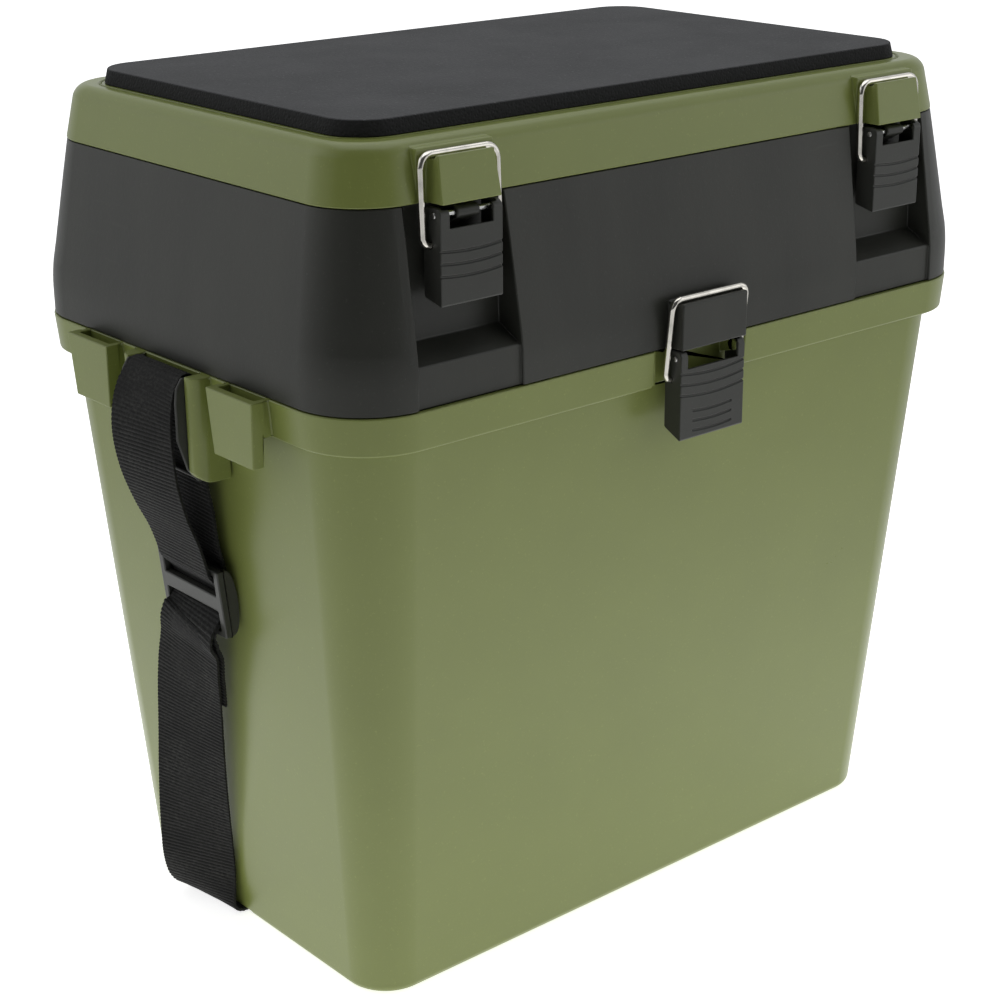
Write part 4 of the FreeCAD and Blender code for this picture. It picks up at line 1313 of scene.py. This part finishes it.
@dataclass
class Latch:
    """Over-centre latch: lever, wire bail and pins.

    Attributes:
        side: name of the latch, as in its nodes and bodies.
        x: its centre along X.
        pin: pin axis as (Y, Z).
        pivot: bail pivot as (Y, Z).
        crossbar: bail crossbar as (Y, Z).
        half: half width of the lever.
        front: distance from the pin to the lever's face.
        back: distance from the pin to the lever's back.
        top: height of the lever above the pin.
        foot: depth of the lever under the pin.
        window: half width and foot of the window.
        grooves: (start, sag, half width) of each groove; half width 0 is the full width.
        bail_half: half width of the bail.
        corner: bend radius of the bail's upper corners.
        wall: thickness of the lever's sides.
        face: thickness of the lever's front.
        wire: radius of the bail's wire.
        bend: bend radius of the bail's feet.
        heel: how much higher the lever's lower end is at its back.
    """

    side: str
    x: float
    pin: Point2
    pivot: Point2
    crossbar: Point2
    half: float
    front: float
    back: float
    top: float
    foot: float
    window: Point2
    grooves: Sequence[tuple[float, float, float]]
    bail_half: float
    corner: float
    wall: float = 2.2
    face: float = 1.5
    wire: float = 1.4
    bend: float = 3.0
    heel: float = 2.4

    def groove(self, start: float, sag: float, half: float) -> Shape:
        """Builds a curved cut across the lever's face.

        Args:
            start: height of its ends from the pin.
            sag: how much lower its middle is.
            half: its half width, 0 for the full width of the lever.

        Returns:
            The cut.
        """
        reach = half if half else self.half + 1.5
        upper = []
        for k in range(17):
            t = -1 + 2 * k / 16
            upper.append((reach * t, start - sag * (1 - t * t)))
        outline = upper + [(x, z - 1.0) for x, z in upper[::-1]]
        return Shape.prism_y(outline, -self.front - 1.0, -self.front + 0.55)

    def lever(self) -> Shape:
        """Builds the lever about its pin, with its window, grooves and bores.

        Returns:
            The lever, at its place.
        """
        f, top, foot, back = self.front, self.top, self.foot, self.back
        outline = [(-f, -foot + 0.5), (-f, 0.0)] + arc((-f * 0.2, 0.0), (f * 0.8, top), 8, 90, 7)
        outline += [(back - 0.8, top), (back, top - 0.8), (back, self.heel + 0.5 - foot),
                    (back - 0.6, self.heel - 0.2 - foot), (-f + 0.5, -foot)]
        body = Shape.prism_x(outline, -self.half, self.half)
        inner = self.half - self.wall
        body.cut(Shape.box(-inner, inner, self.face - f, back + 1, 1.8 - foot, top + 1),
                 Shape.box(-self.window[0], self.window[0], -f - 1, back + 1, self.window[1], top + 1))
        body.cut(*[self.groove(*g) for g in self.grooves])
        offset = (self.pivot[0] - self.pin[0], self.pivot[1] - self.pin[1])
        body.cut(Shape.rod_x(-self.half - 1, self.half + 1, offset, self.wire + 0.05))
        return body.moved(self.x, *self.pin)

    def bail(self) -> Shape:
        """Bends the wire from foot to foot over the crossbar.

        Returns:
            The wire, at its place.
        """
        dy, dz = self.crossbar[0] - self.pivot[0], self.crossbar[1] - self.pivot[1]
        reach, half = math.hypot(dy, dz), self.bail_half
        b, c = self.bend, self.corner
        path = [(-self.half + self.wall, 0.0), (-half + b + 0.4, 0.0)]
        path += [(-half + b - b * math.sin(a), b - b * math.cos(a)) for a in arc_steps(0, 90, 6)]
        path += arc((-half + c, reach - c), (c, c), 0, 90, 8)
        path += [(-x, z) for x, z in path[::-1]]
        wire = Shape.tube([Vector((x, 0.0, z)) for x, z in path], self.wire)
        wire.turned(math.degrees(math.atan2(-dy, dz)), "X")
        return wire.moved(self.x, *self.pivot)

    def build(self, shop: Workshop) -> None:
        """Makes the lever and the bail and hands them over.

        Args:
            shop: the workshop that dresses them.
        """
        node = "lever_" + self.side
        shop.hand_over(self.lever().finished(node + "_visual", 0.35), shop.finishes.lever, node, [node])
        node = "bail_" + self.side
        bail = self.bail().finished(node + "_visual", 0.0, sharp=60.0)
        shop.hand_over(bail, shop.finishes.chrome, node, [node])


def latches() -> list[Latch]:
    """Sizes of the two upper latches and the lower one.

    Returns:
        The latches, left, right and front.
    """
    upper = [(start, 1.3, 0.0) for start in (-12.4, -17.2, -22.0)]
    lower = [(start, 1.9, 0.0) for start in (-5.2, -9.9, -14.6)]
    lower += [(start, 0.7, 11.8) for start in (-22.6, -26.9, -31.2)]
    made = [Latch(side, x, UPPER_PIN, pivot=(-114.6, 334.5), crossbar=(-113.4, 368.45), half=15.2,
                  front=4.1, back=6.4, top=2.9, foot=34.6, window=(10.6, -5.0), grooves=upper,
                  bail_half=18.7, corner=5.0)
            for side, x in (("left", -UPPER_LATCH_X), ("right", UPPER_LATCH_X))]
    made.append(Latch("front", 0.0, LOWER_PIN, pivot=(-122.6, 259.6), crossbar=(-126.4, 294.5), half=19.0,
                      front=3.7, back=6.0, top=3.6, foot=35.4, window=(15.0, -4.4), grooves=lower,
                      bail_half=21.8, corner=4.0, heel=4.4))
    return made


@dataclass
class PinsAndRods:
    """Lever pins and hinge rods, with turned ends.

    Attributes:
        pin: radius of the lever pins.
        rod: radius of the hinge rods.
    """

    pin: float = 1.2
    rod: float = 1.8

    def build(self, shop: Workshop) -> None:
        """Makes the pins and rods and hands them over.

        Args:
            shop: the workshop that dresses them.
        """
        bars = (("upper_lever_pins", "tray", 108.4, 139.6, UPPER_PIN, self.pin),
                ("lower_lever_pins", "bucket", 15.1, 19.4, LOWER_PIN, self.pin),
                ("tray_hinge_rods", "bucket", 97.6, 158.4, TRAY_AXIS, self.rod),
                ("lid_hinge_rods", "tray", 87.6, 138.4, LID_AXIS, self.rod))
        for name, body, x0, x1, axis, radius in bars:
            bar = Shape.rod_x(x0, x1, axis, radius, 20)
            piece = bar.fuse(bar.flipped()).finished(name + "_visual", 0.25)
            shop.hand_over(piece, shop.finishes.steel, body, [name])


# The strap


def through(points: Sequence[Station], per_span: int) -> list[Station]:
    """Smooth line through stations, as a centripetal spline.

    Args:
        points: stations of X, Z, centre Y and twist.
        per_span: samples between two stations.

    Returns:
        The samples, from the first station to the last.
    """
    def knot(first: Vector, second: Vector) -> float:
        """Step of the curve's parameter from one station to the next."""
        return max(0.05, math.sqrt((second.xy - first.xy).length))

    rows = [Vector(p) for p in points]
    rows = [rows[0] * 2 - rows[1]] + rows + [rows[-1] * 2 - rows[-2]]
    samples = []
    for i in range(1, len(rows) - 2):
        p0, p1, p2, p3 = rows[i - 1], rows[i], rows[i + 1], rows[i + 2]
        t1 = knot(p0, p1)
        t2 = t1 + knot(p1, p2)
        t3 = t2 + knot(p2, p3)
        for k in range(per_span):
            t = t1 + (t2 - t1) * k / per_span
            a1 = p0 * ((t1 - t) / t1) + p1 * (t / t1)
            a2 = p1 * ((t2 - t) / (t2 - t1)) + p2 * ((t - t1) / (t2 - t1))
            a3 = p2 * ((t3 - t) / (t3 - t2)) + p3 * ((t - t2) / (t3 - t2))
            b1 = a1 * ((t2 - t) / t2) + a2 * (t / t2)
            b2 = a2 * ((t3 - t) / (t3 - t1)) + a3 * ((t - t1) / (t3 - t1))
            samples.append(tuple(b1 * ((t2 - t) / (t2 - t1)) + b2 * ((t - t1) / (t2 - t1))))
    samples.append(tuple(rows[-2]))
    return samples


class RibTree:
    """Geometry Nodes tree that lays a rib across the webbing at every point of its line.

    Attributes:
        SIZES: the tree's named inputs with their first values in metres: a rib's width along the webbing,
            its thickness and its length across.
    """

    SIZES = (("Rib pitch", 0.002), ("Rib height", 0.0014), ("Rib width", 0.038))

    def __init__(self, material: bpy.types.Material) -> None:
        """Builds the tree.

        Args:
            material: the material that its result gets.
        """
        self.tree = bpy.data.node_groups.new("webbing_ribs", "GeometryNodeTree")
        face = self.tree.interface
        face.new_socket("Geometry", in_out="INPUT", socket_type="NodeSocketGeometry")
        face.new_socket("Geometry", in_out="OUTPUT", socket_type="NodeSocketGeometry")
        self.sockets = {}
        for name, value in self.SIZES:
            socket = face.new_socket(name, in_out="INPUT", socket_type="NodeSocketFloat")
            socket.default_value = value
            self.sockets[name] = socket.identifier
        g = Graph(self.tree)
        given = {name: g.node("NodeGroupInput", {}, {}, name) for name in ("Geometry", *self.sockets)}
        size = g.node("ShaderNodeCombineXYZ", {}, {i: given[name] for i, name in enumerate(self.sockets)})
        bar = g.node("GeometryNodeMeshCylinder", {}, {"Vertices": 8, "Radius": 0.5, "Depth": 1.0}, "Mesh")
        rib = g.node("GeometryNodeTransform", {}, {"Geometry": bar, "Scale": size})
        across, along = (g.node("GeometryNodeInputNamedAttribute", {"data_type": "FLOAT_VECTOR"},
                                {"Name": name}, "Attribute") for name in ("across", "along"))
        turn = g.node("FunctionNodeAxesToRotation", {"primary_axis": "Z", "secondary_axis": "X"},
                      {0: across, 1: along})
        ribs = g.node("GeometryNodeInstanceOnPoints", {},
                      {"Points": given["Geometry"], "Instance": rib, "Rotation": turn})
        real = g.node("GeometryNodeRealizeInstances", {}, {"Geometry": ribs})
        smooth = g.node("GeometryNodeSetShadeSmooth", {}, {0: real})
        painted = g.node("GeometryNodeSetMaterial", {}, {"Geometry": smooth, "Material": material})
        g.end("NodeGroupOutput", painted)

    def lay(self, points: Sequence[Vector], along: Sequence[Vector], across: Sequence[Vector],
            sizes: Place) -> bpy.types.Object:
        """Lays ribs on points and bakes them.

        Args:
            points: where each rib goes, in metres.
            along: direction of the webbing at each point.
            across: direction of the rib at each point.
            sizes: a rib's width along the webbing, its thickness and its length across, in metres.

        Returns:
            An object with the ribs as a plain mesh.
        """
        mesh = bpy.data.meshes.new("rib_points")
        mesh.from_pydata([tuple(p) for p in points], [], [])
        for name, rows in (("along", along), ("across", across)):
            attribute = mesh.attributes.new(name, "FLOAT_VECTOR", "POINT")
            attribute.data.foreach_set("vector", [c for v in rows for c in v])
        obj = new_object("ribs", mesh)
        layer = obj.modifiers.new("ribs", "NODES")
        layer.node_group = self.tree
        for identifier, value in zip(self.sockets.values(), sizes):
            layer[identifier] = value
        bake(obj)
        return obj


@dataclass
class Strap:
    """Webbing, buckles and anchors at both ends and under the floor.

    Attributes:
        width: width of the webbing.
        thick: its thickness.
        play: gap between the webbing and the anchor bar.
        pitch: distance between two ribs.
        under_z: height of the course under the floor.
        under_y: middle of that course.
        bar: anchor bar of the -X end, as distance from the middle and height.
        bar_radius: its radius.
        buckle: middle of the buckle, as distance from the middle, Y and height.
        buckle_thick: thickness of its frame.
        lean: how far it leans from upright, in degrees.
        hang_top: height at which the hanging run starts.
        hang: hanging run, off the wall, share of the height, Y and twist.
        tuck: turn under the floor, off the tub's foot, height, Y and twist.
        rising: back course up to the bar, from the bar.
        falling: front course down from the bar, from the bar.
    """

    width: float = 38.0
    thick: float = 1.4
    play: float = 0.4
    pitch: float = 1.8
    under_z: float = 1.1
    under_y: float = 27.5
    bar: Point2 = (190.0, 268.4)
    bar_radius: float = 3.0
    buckle: Place = (179.6, 1.8, 169.8)
    buckle_thick: float = 3.2
    lean: float = -6.0
    hang_top: float = 143.0
    hang: Sequence[Station] = (
        (11.4, 1.0, 6.2, -5.0), (11.3, 0.92, 9.2, -9.0), (11.2, 0.825, 12.1, -12.5),
        (11.2, 0.64, 16.5, -16.0), (11.2, 0.46, 20.5, -20.5), (10.9, 0.31, 23.5, -24.5),
        (10.8, 0.17, 25.3, -26.0))
    tuck: Sequence[Station] = (
        (11.1, 13.0, 26.6, -20.0), (9.5, 7.6, 27.1, -13.0), (7.2, 4.1, 27.4, -6.0), (4.2, 2.2, 27.5, -2.0),
        (1.0, 1.25, 27.5, 0.0), (-4.0, 1.1, 27.5, 0.0), (-11.0, 1.1, 27.5, 0.0), (-18.7, 1.1, 27.5, 0.0))
    rising: Sequence[Station] = (
        (11.2, -72.4, 1.0, 0.0), (9.0, -56.4, 0.0, 0.0), (6.0, -38.4, 0.0, 0.0), (4.25, -18.4, 0.0, 0.0))
    falling: Sequence[Station] = (
        (-7.6, -5.4, 0.6, -4.0), (-10.0, -16.4, 1.0, -7.0), (-10.3, -27.4, 1.0, -8.0),
        (-8.3, -42.4, 1.2, -6.0), (-3.4, -58.4, 1.5, -3.0), (2.4, -72.0, 1.7, -1.0))

    def hanging(self, station: Station) -> Station:
        """Station of the hanging run from its distance off the wall and share of the height."""
        z = station[1] * self.hang_top
        return (-Bucket().size_at(z)[0] - station[0], z, station[2], station[3])

    def tucked(self, station: Station) -> Station:
        """Station of the turn under the floor from its distance off the foot."""
        return (-Bucket().foot[0] - station[0], station[1], station[2], station[3])

    def from_bar(self, station: Station) -> Station:
        """Station given from the anchor bar."""
        return (station[0] - self.bar[0], self.bar[1] + station[1], station[2], station[3])

    def on_buckle(self, height: float, out: float, drift: float = 0.0) -> Station:
        """Station given from the middle of the buckle.

        Args:
            height: how far up the buckle's own height.
            out: how far out from its middle plane.
            drift: shift along its width.

        Returns:
            The station.
        """
        a = math.radians(self.lean)
        return (-self.buckle[0] - out * math.cos(a) + height * math.sin(a),
                self.buckle[2] + out * math.sin(a) + height * math.cos(a), self.buckle[1] + drift, 0.0)

    def around_bar(self, degrees: float) -> Station:
        """Station on the turn over the anchor bar.

        Args:
            degrees: its angle about the bar, 0 towards the tub.

        Returns:
            The station.
        """
        r = self.bar_radius + self.play + self.thick / 2
        a = math.radians(degrees)
        return (-self.bar[0] + r * math.cos(a), self.bar[1] + r * math.sin(a), 0.0, 0.0)

    def courses(self) -> tuple[list[Station], list[Station]]:
        """Lays out the webbing of the -X end.

        Returns:
            The upper course, from its tail behind the buckle over the bar and into the buckle, and the lower
            one, from the buckle down and under the floor.
        """
        layer = self.thick + 1.0
        touch = self.buckle_thick / 2 + self.thick / 2 + 0.2
        beside = self.on_buckle
        tail = []
        for station in (self.hang[2], self.hang[1], self.hang[0]):
            x, z, y, twist = self.hanging(station)
            tail.append((x + layer + 0.3, z, y, -twist))
        behind = [beside(-18.0, touch + 0.1, 2.2), beside(-13.0, touch, 0.9), beside(-9.2, -1.0, 0.3),
                  beside(-5.2, -touch - layer - 0.1), beside(2.0, -touch - layer - 0.2),
                  beside(12.0, -touch - layer - 0.6)]
        turn = [self.around_bar(degrees) for degrees in range(0, 180, 30)]
        through_buckle = [beside(16.6, touch + 0.6), beside(12.8, touch), beside(4.6, -touch - 0.2),
                          beside(0.0, -touch - 0.2)]
        upper = tail + behind + [self.from_bar(s) for s in self.rising] + turn
        upper += [self.from_bar(s) for s in self.falling] + through_buckle
        lower = [beside(-0.8, -touch - 0.2), beside(-4.0, -touch), beside(-7.4, -0.2, 0.1),
                 beside(-10.6, 2.6, 0.4), beside(-13.6, touch + layer - 0.3, 0.9),
                 beside(-18.0, touch + layer + 0.3, 2.2)]
        lower += [self.hanging(s) for s in self.hang] + [self.tucked(s) for s in self.tuck]
        return upper, lower

    def ribs_along(self, course: Sequence[Station],
                   mirrored: bool) -> tuple[list[Vector], list[Vector], list[Vector]]:
        """Finds the points at every pitch along a course, with both directions there.

        Args:
            course: the stations.
            mirrored: whether the course is the one of the +X end.

        Returns:
            Points in metres, directions along and directions across.
        """
        fine = through(course, 14)
        centres = [Vector((x, y, z)) for x, z, y, _ in fine]
        gone = [0.0]
        for a, b in zip(centres, centres[1:]):
            gone.append(gone[-1] + (b - a).length)
        count = max(2, int(gone[-1] / self.pitch))
        points, along, across = [], [], []
        k = 0
        for n in range(count):
            target = (n + 0.5) * gone[-1] / count
            while gone[k + 1] < target:
                k += 1
            t = (target - gone[k]) / max(1e-6, gone[k + 1] - gone[k])
            point = centres[k].lerp(centres[k + 1], t)
            ahead = (centres[min(k + 2, len(centres) - 1)] - centres[max(k - 1, 0)]).normalized()
            twist = math.radians(fine[k][3] + (fine[k + 1][3] - fine[k][3]) * t)
            flat = Vector((0, 1, 0))
            flat = (flat - ahead * flat.dot(ahead)).normalized()
            lean = flat * math.cos(twist) + ahead.cross(flat) * math.sin(twist)
            if mirrored:
                point, ahead, lean = (Vector((-v.x, v.y, v.z)) for v in (point, ahead, lean))
            points.append(point * MM)
            along.append(ahead)
            across.append(lean)
        return points, along, across

    def webbing(self, tree: RibTree) -> list[bpy.types.Object]:
        """Makes the ribs and the core of all courses.

        Args:
            tree: the tree that lays the ribs.

        Returns:
            Their objects.
        """
        upper, lower = self.courses()
        under = [(x, self.under_z, self.under_y, 0.0) for x in (-140.2, -70.0, 0.0, 70.0, 140.2)]
        layouts = [self.ribs_along(c, m) for c in (upper, lower) for m in (False, True)]
        layouts.append(self.ribs_along(under, False))
        sizes = (self.pitch * MM * 1.25, self.thick * MM, self.width * MM)
        made = []
        for points, along, across in layouts:
            made.append(tree.lay(points, along, across, sizes))
            made.append(self.core(points, along, across))
        return made

    def core(self, points: Sequence[Vector], along: Sequence[Vector],
             across: Sequence[Vector]) -> bpy.types.Object:
        """Makes a thin strip inside the ribs, so that no light passes between them.

        Args:
            points: where each rib is, in metres.
            along: direction of the webbing at each point.
            across: direction of the rib at each point.

        Returns:
            The strip.
        """
        rings = []
        for p, a, c in zip(points, along, across):
            up = a.cross(c).normalized()
            w, n = c * (self.width / 2 - 0.12), up * (self.thick / 2 - 0.2)
            q = p / MM
            rings.append([q - w - n, q + w - n, q + w + n, q - w + n])
        return Shape.loft(rings).finished("core", 0.0, sharp=60.0)

    def buckle_shape(self) -> Shape:
        """Builds the slotted buckle of the -X end.

        Returns:
            The buckle, at its place.
        """
        t, half_y, half_z = self.buckle_thick / 2, 23.5, 15.5
        slot_y = half_y - 3.6
        frame = Shape.box(-t, t, -half_y, half_y, -half_z, half_z)
        frame.cut(Shape.box(-t - 1, t + 1, -slot_y, slot_y, 3.5, half_z - 2.4),
                  Shape.box(-t - 1, t + 1, -slot_y, slot_y, 2.4 - half_z, -3.5))
        outline = [(t - 0.1, -half_z), (t - 0.1, half_z)]
        outline += [(t + 5.4 * math.sin(a) ** 0.7, half_z * math.cos(a)) for a in arc_steps(12, 168, 12)]
        flange = Shape.prism_y(outline, slot_y + 1.2, half_y - 0.01)
        frame.fuse(flange, flange.flipped(1))
        frame.turned(self.lean, "Y")
        return frame.moved(-self.buckle[0], self.buckle[1], self.buckle[2])

    def anchor_shape(self) -> Shape:
        """Builds the insert that carries the bar on the -X end.

        Returns:
            The insert, at its place.
        """
        half, floor = 20.1, 227.0
        plate = [(-179.9, 231.0), (-179.9, 256.6), (-185.4, 256.6), (-185.4, 272.2), (-193.4, 272.2),
                 (-196.2, 268.0), (-197.0, 262.0), (-197.0, 246.0), (-193.0, 233.0), (-188.0, floor),
                 (-177.0, floor), (-177.2, 231.0)]
        back = [(-179.9, 256.5), (-181.9, 256.5), (-181.9, 236.0), (-179.2, floor + 0.02),
                (-177.2, floor + 0.02), (-179.9, 240.0)]
        parts = [Shape.prism_y(plate, *span(side, 19.6, 21.0)) for side in SIDES]
        parts.append(Shape.prism_y(back, -half, half))
        parts.append(Shape.box(-187.2, -178.0, -half, half, floor + 0.03, 228.6))
        parts += [Shape.box(-183.4, -180.2, y, y + 2.0, 228.0, 256.4) for y in (-16.0, -5.4, 5.2, 15.8)]
        parts.append(Shape.prism_y(circle((-self.bar[0], self.bar[1]), self.bar_radius, 24), -half, half))
        return parts[0].fuse(*parts[1:])

    def build(self, shop: Workshop) -> None:
        """Makes the strap's pieces and hands them over.

        Args:
            shop: the workshop that dresses them.
        """
        def gather(work: bmesh.types.BMesh) -> None:
            """Takes the ribs and the cores in."""
            for part in parts:
                work.from_mesh(part.data)

        name = "strap_webbing_visual"
        parts = self.webbing(RibTree(shop.finishes.material(shop.finishes.webbing)))
        mesh = bpy.data.meshes.new(name)
        edit(mesh, gather)
        for part in parts:
            bpy.data.objects.remove(part)
        mesh.shade_smooth()
        mesh.set_sharp_from_angle(angle=math.radians(60))
        shop.hand_over(new_object(name, mesh), shop.finishes.webbing, "bucket", ["strap_webbing"])
        for stem, shape in (("strap_buckle_", self.buckle_shape()), ("strap_anchor_", self.anchor_shape())):
            twin = shape.flipped()
            for node, one in ((stem + "left", shape), (stem + "right", twin)):
                shop.hand_over(one.finished(node + "_visual", 0.5), shop.finishes.lever, "bucket", [node])


# Studio


@dataclass(frozen=True)
class SoftBox:
    """Rectangular soft light.

    Attributes:
        name: its name.
        place: where it stands, in metres.
        size: width and height in metres.
        power: its power in watts.
    """

    name: str
    place: Place
    size: Point2
    power: float

    def set_up(self, aim: Vector) -> None:
        """Adds the light to the scene.

        Args:
            aim: the point it faces.
        """
        data = bpy.data.lights.new(self.name, "AREA")
        data.shape = "RECTANGLE"
        data.size, data.size_y = self.size
        data.energy = self.power
        lamp = new_object(self.name, data)
        lamp.location = self.place
        lamp.rotation_euler = (aim - Vector(self.place)).to_track_quat("-Z", "Y").to_euler()


@dataclass
class Studio:
    """Camera, floor, surroundings and soft lights.

    Attributes:
        focal_px: focal length in pixels of the frame.
        frame_px: width and height of the frame.
        centre_px: where the camera's axis meets the frame.
        azimuth: the camera's angle from the front towards -X, in degrees.
        elevation: its angle above the floor.
        roll: its turn about its own axis.
        distance: its distance from the target, in metres.
        target: the point it faces.
        lights: the soft lights, which face the box's middle.
        middle: that middle.
        seen: brightness of the floor and of the surroundings, as the camera sees them.
        floor_glow: light that the floor gives far from the box and near it.
        sky_light: light from the surroundings behind the box and from where the camera stands.
        sky_turn: cosine of the angle from the camera's side at which the lower of both is reached.
    """

    focal_px: float = 2105.06
    frame_px: float = 1000.0
    centre_px: Point2 = (513.13, 498.99)
    azimuth: float = 40.66
    elevation: float = 20.15
    roll: float = -0.31
    distance: float = 1.01236
    target: Place = (-0.00036, 0.0003, 0.16798)
    lights: Sequence[SoftBox] = (SoftBox("key", (-1.55, 0.75, 1.0), (2.2, 1.6), 4.5),
                                 SoftBox("front", (1.3, -1.75, 0.9), (2.4, 1.4), 6.0),
                                 SoftBox("top", (0.2, 0.2, 2.0), (1.8, 1.8), 8.0))
    middle: Place = (0.0, 0.0, 0.18)
    seen: Point2 = (0.80, 1.05)
    floor_glow: Point2 = (0.10, 0.9)
    sky_light: Point2 = (0.70, 0.06)
    sky_turn: float = 0.45

    def camera(self) -> None:
        """Sets the camera at the photograph's angle."""
        a, e, r = (math.radians(v) for v in (self.azimuth, self.elevation, self.roll))
        back = Vector((-math.sin(a) * math.cos(e), -math.cos(a) * math.cos(e), math.sin(e)))
        right = (-back).cross(Vector((0, 0, 1))).normalized()
        up = right.cross(-back)
        right, up = right * math.cos(r) + up * math.sin(r), up * math.cos(r) - right * math.sin(r)
        data = bpy.data.cameras.new("camera")
        data.sensor_fit = "HORIZONTAL"
        data.sensor_width = 36.0
        data.lens = self.focal_px * data.sensor_width / self.frame_px
        data.shift_x = (self.frame_px / 2 - self.centre_px[0]) / self.frame_px
        data.shift_y = (self.centre_px[1] - self.frame_px / 2) / self.frame_px
        data.clip_start, data.clip_end = 0.05, 30.0
        camera = new_object("camera", data)
        turn = Matrix((right, up, back)).transposed().to_4x4()
        camera.matrix_world = Matrix.Translation(Vector(self.target) + back * self.distance) @ turn
        bpy.context.scene.camera = camera

    def floor(self) -> None:
        """Lays a wide pale floor, which throws its light up near the box."""
        mesh = bpy.data.meshes.new("floor")
        mesh.from_pydata([(-6, -6, 0), (6, -6, 0), (6, 6, 0), (-6, 6, 0)], [], [(0, 1, 2, 3)])
        g = Surface("floor")
        cloud = g.noise(g.place(), 3.0)
        near = g.node("ShaderNodeTexGradient", {"gradient_type": "SPHERICAL"},
                      {"Vector": g.place((0.4, 0.4, 0.4))}, "Fac")
        seen, low, high = (rgba((level,) * 3) for level in (self.seen[0], *self.floor_glow))
        camera_ray = g.node("ShaderNodeLightPath", {}, {}, "Is Camera Ray")
        glow = g.between(camera_ray, g.between(g.ramp(near, 0.72, 0.9), low, high), seen)
        g.dress(Base_Color=g.between(cloud, rgba((0.9,) * 3), rgba((0.93,) * 3)), Roughness=0.75,
                Emission_Color=glow, Emission_Strength=1.0)
        mesh.materials.append(g.material)
        new_object("floor", mesh)

    def world(self) -> None:
        """Puts white surroundings around the box, which give less light from where the camera stands."""
        world = bpy.data.worlds.new("studio")
        bpy.context.scene.world = world
        world.use_nodes = True
        g = Graph(world.node_tree)
        a = math.radians(self.azimuth)
        where = g.node("ShaderNodeTexCoord", {}, {}, "Generated")
        facing = g.node("ShaderNodeVectorMath", {"operation": "DOT_PRODUCT"},
                        {0: where, 1: (-math.sin(a), -math.cos(a), 0.0)}, "Value")
        behind, before = self.sky_light
        level = g.node("ShaderNodeMapRange", {"clamp": True},
                       {0: facing, 1: 0.0, 2: self.sky_turn, 3: behind, 4: before})
        felt = g.node("ShaderNodeBackground", {}, {0: (0.97, 0.985, 1, 1), 1: level})
        seen = g.node("ShaderNodeBackground", {}, {0: (1, 1, 1, 1), 1: self.seen[1]})
        camera_ray = g.node("ShaderNodeLightPath", {}, {}, "Is Camera Ray")
        g.end("ShaderNodeOutputWorld", g.node("ShaderNodeMixShader", {}, {0: camera_ray, 1: felt, 2: seen}))

    def build(self) -> None:
        """Sets the whole studio up."""
        self.camera()
        self.floor()
        self.world()
        for light in self.lights:
            light.set_up(Vector(self.middle))
        bpy.context.scene.view_settings.view_transform = "Standard"


def dress_dividers(frame: dict[str, Any], shop: Workshop) -> None:
    """Gives the carried-over dividers their finish.

    Args:
        shop: the workshop with the finishes.
    """
    for name in ("divider_long", "dividers_cross"):
        node = frame["nodes"][name]
        node.data.materials.clear()
        node.data.materials.append(shop.finishes.material(shop.finishes.black))
        LOG.info("%s: finish only", name)


def main() -> None:
    """Builds every piece in order."""
    logging.basicConfig(level=logging.INFO, format="%(name)s %(message)s")
    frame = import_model()
    Studio().build()
    shop = Workshop(Finishes())
    dress_dividers(frame, shop)
    Bucket().build(shop)
    Tray().build(shop)
    Lid().build(shop)
    SeatPad().build(shop)
    for latch in latches():
        latch.build(shop)
    PinsAndRods().build(shop)
    Strap().build(shop)


if __name__ == "__main__":
    main()
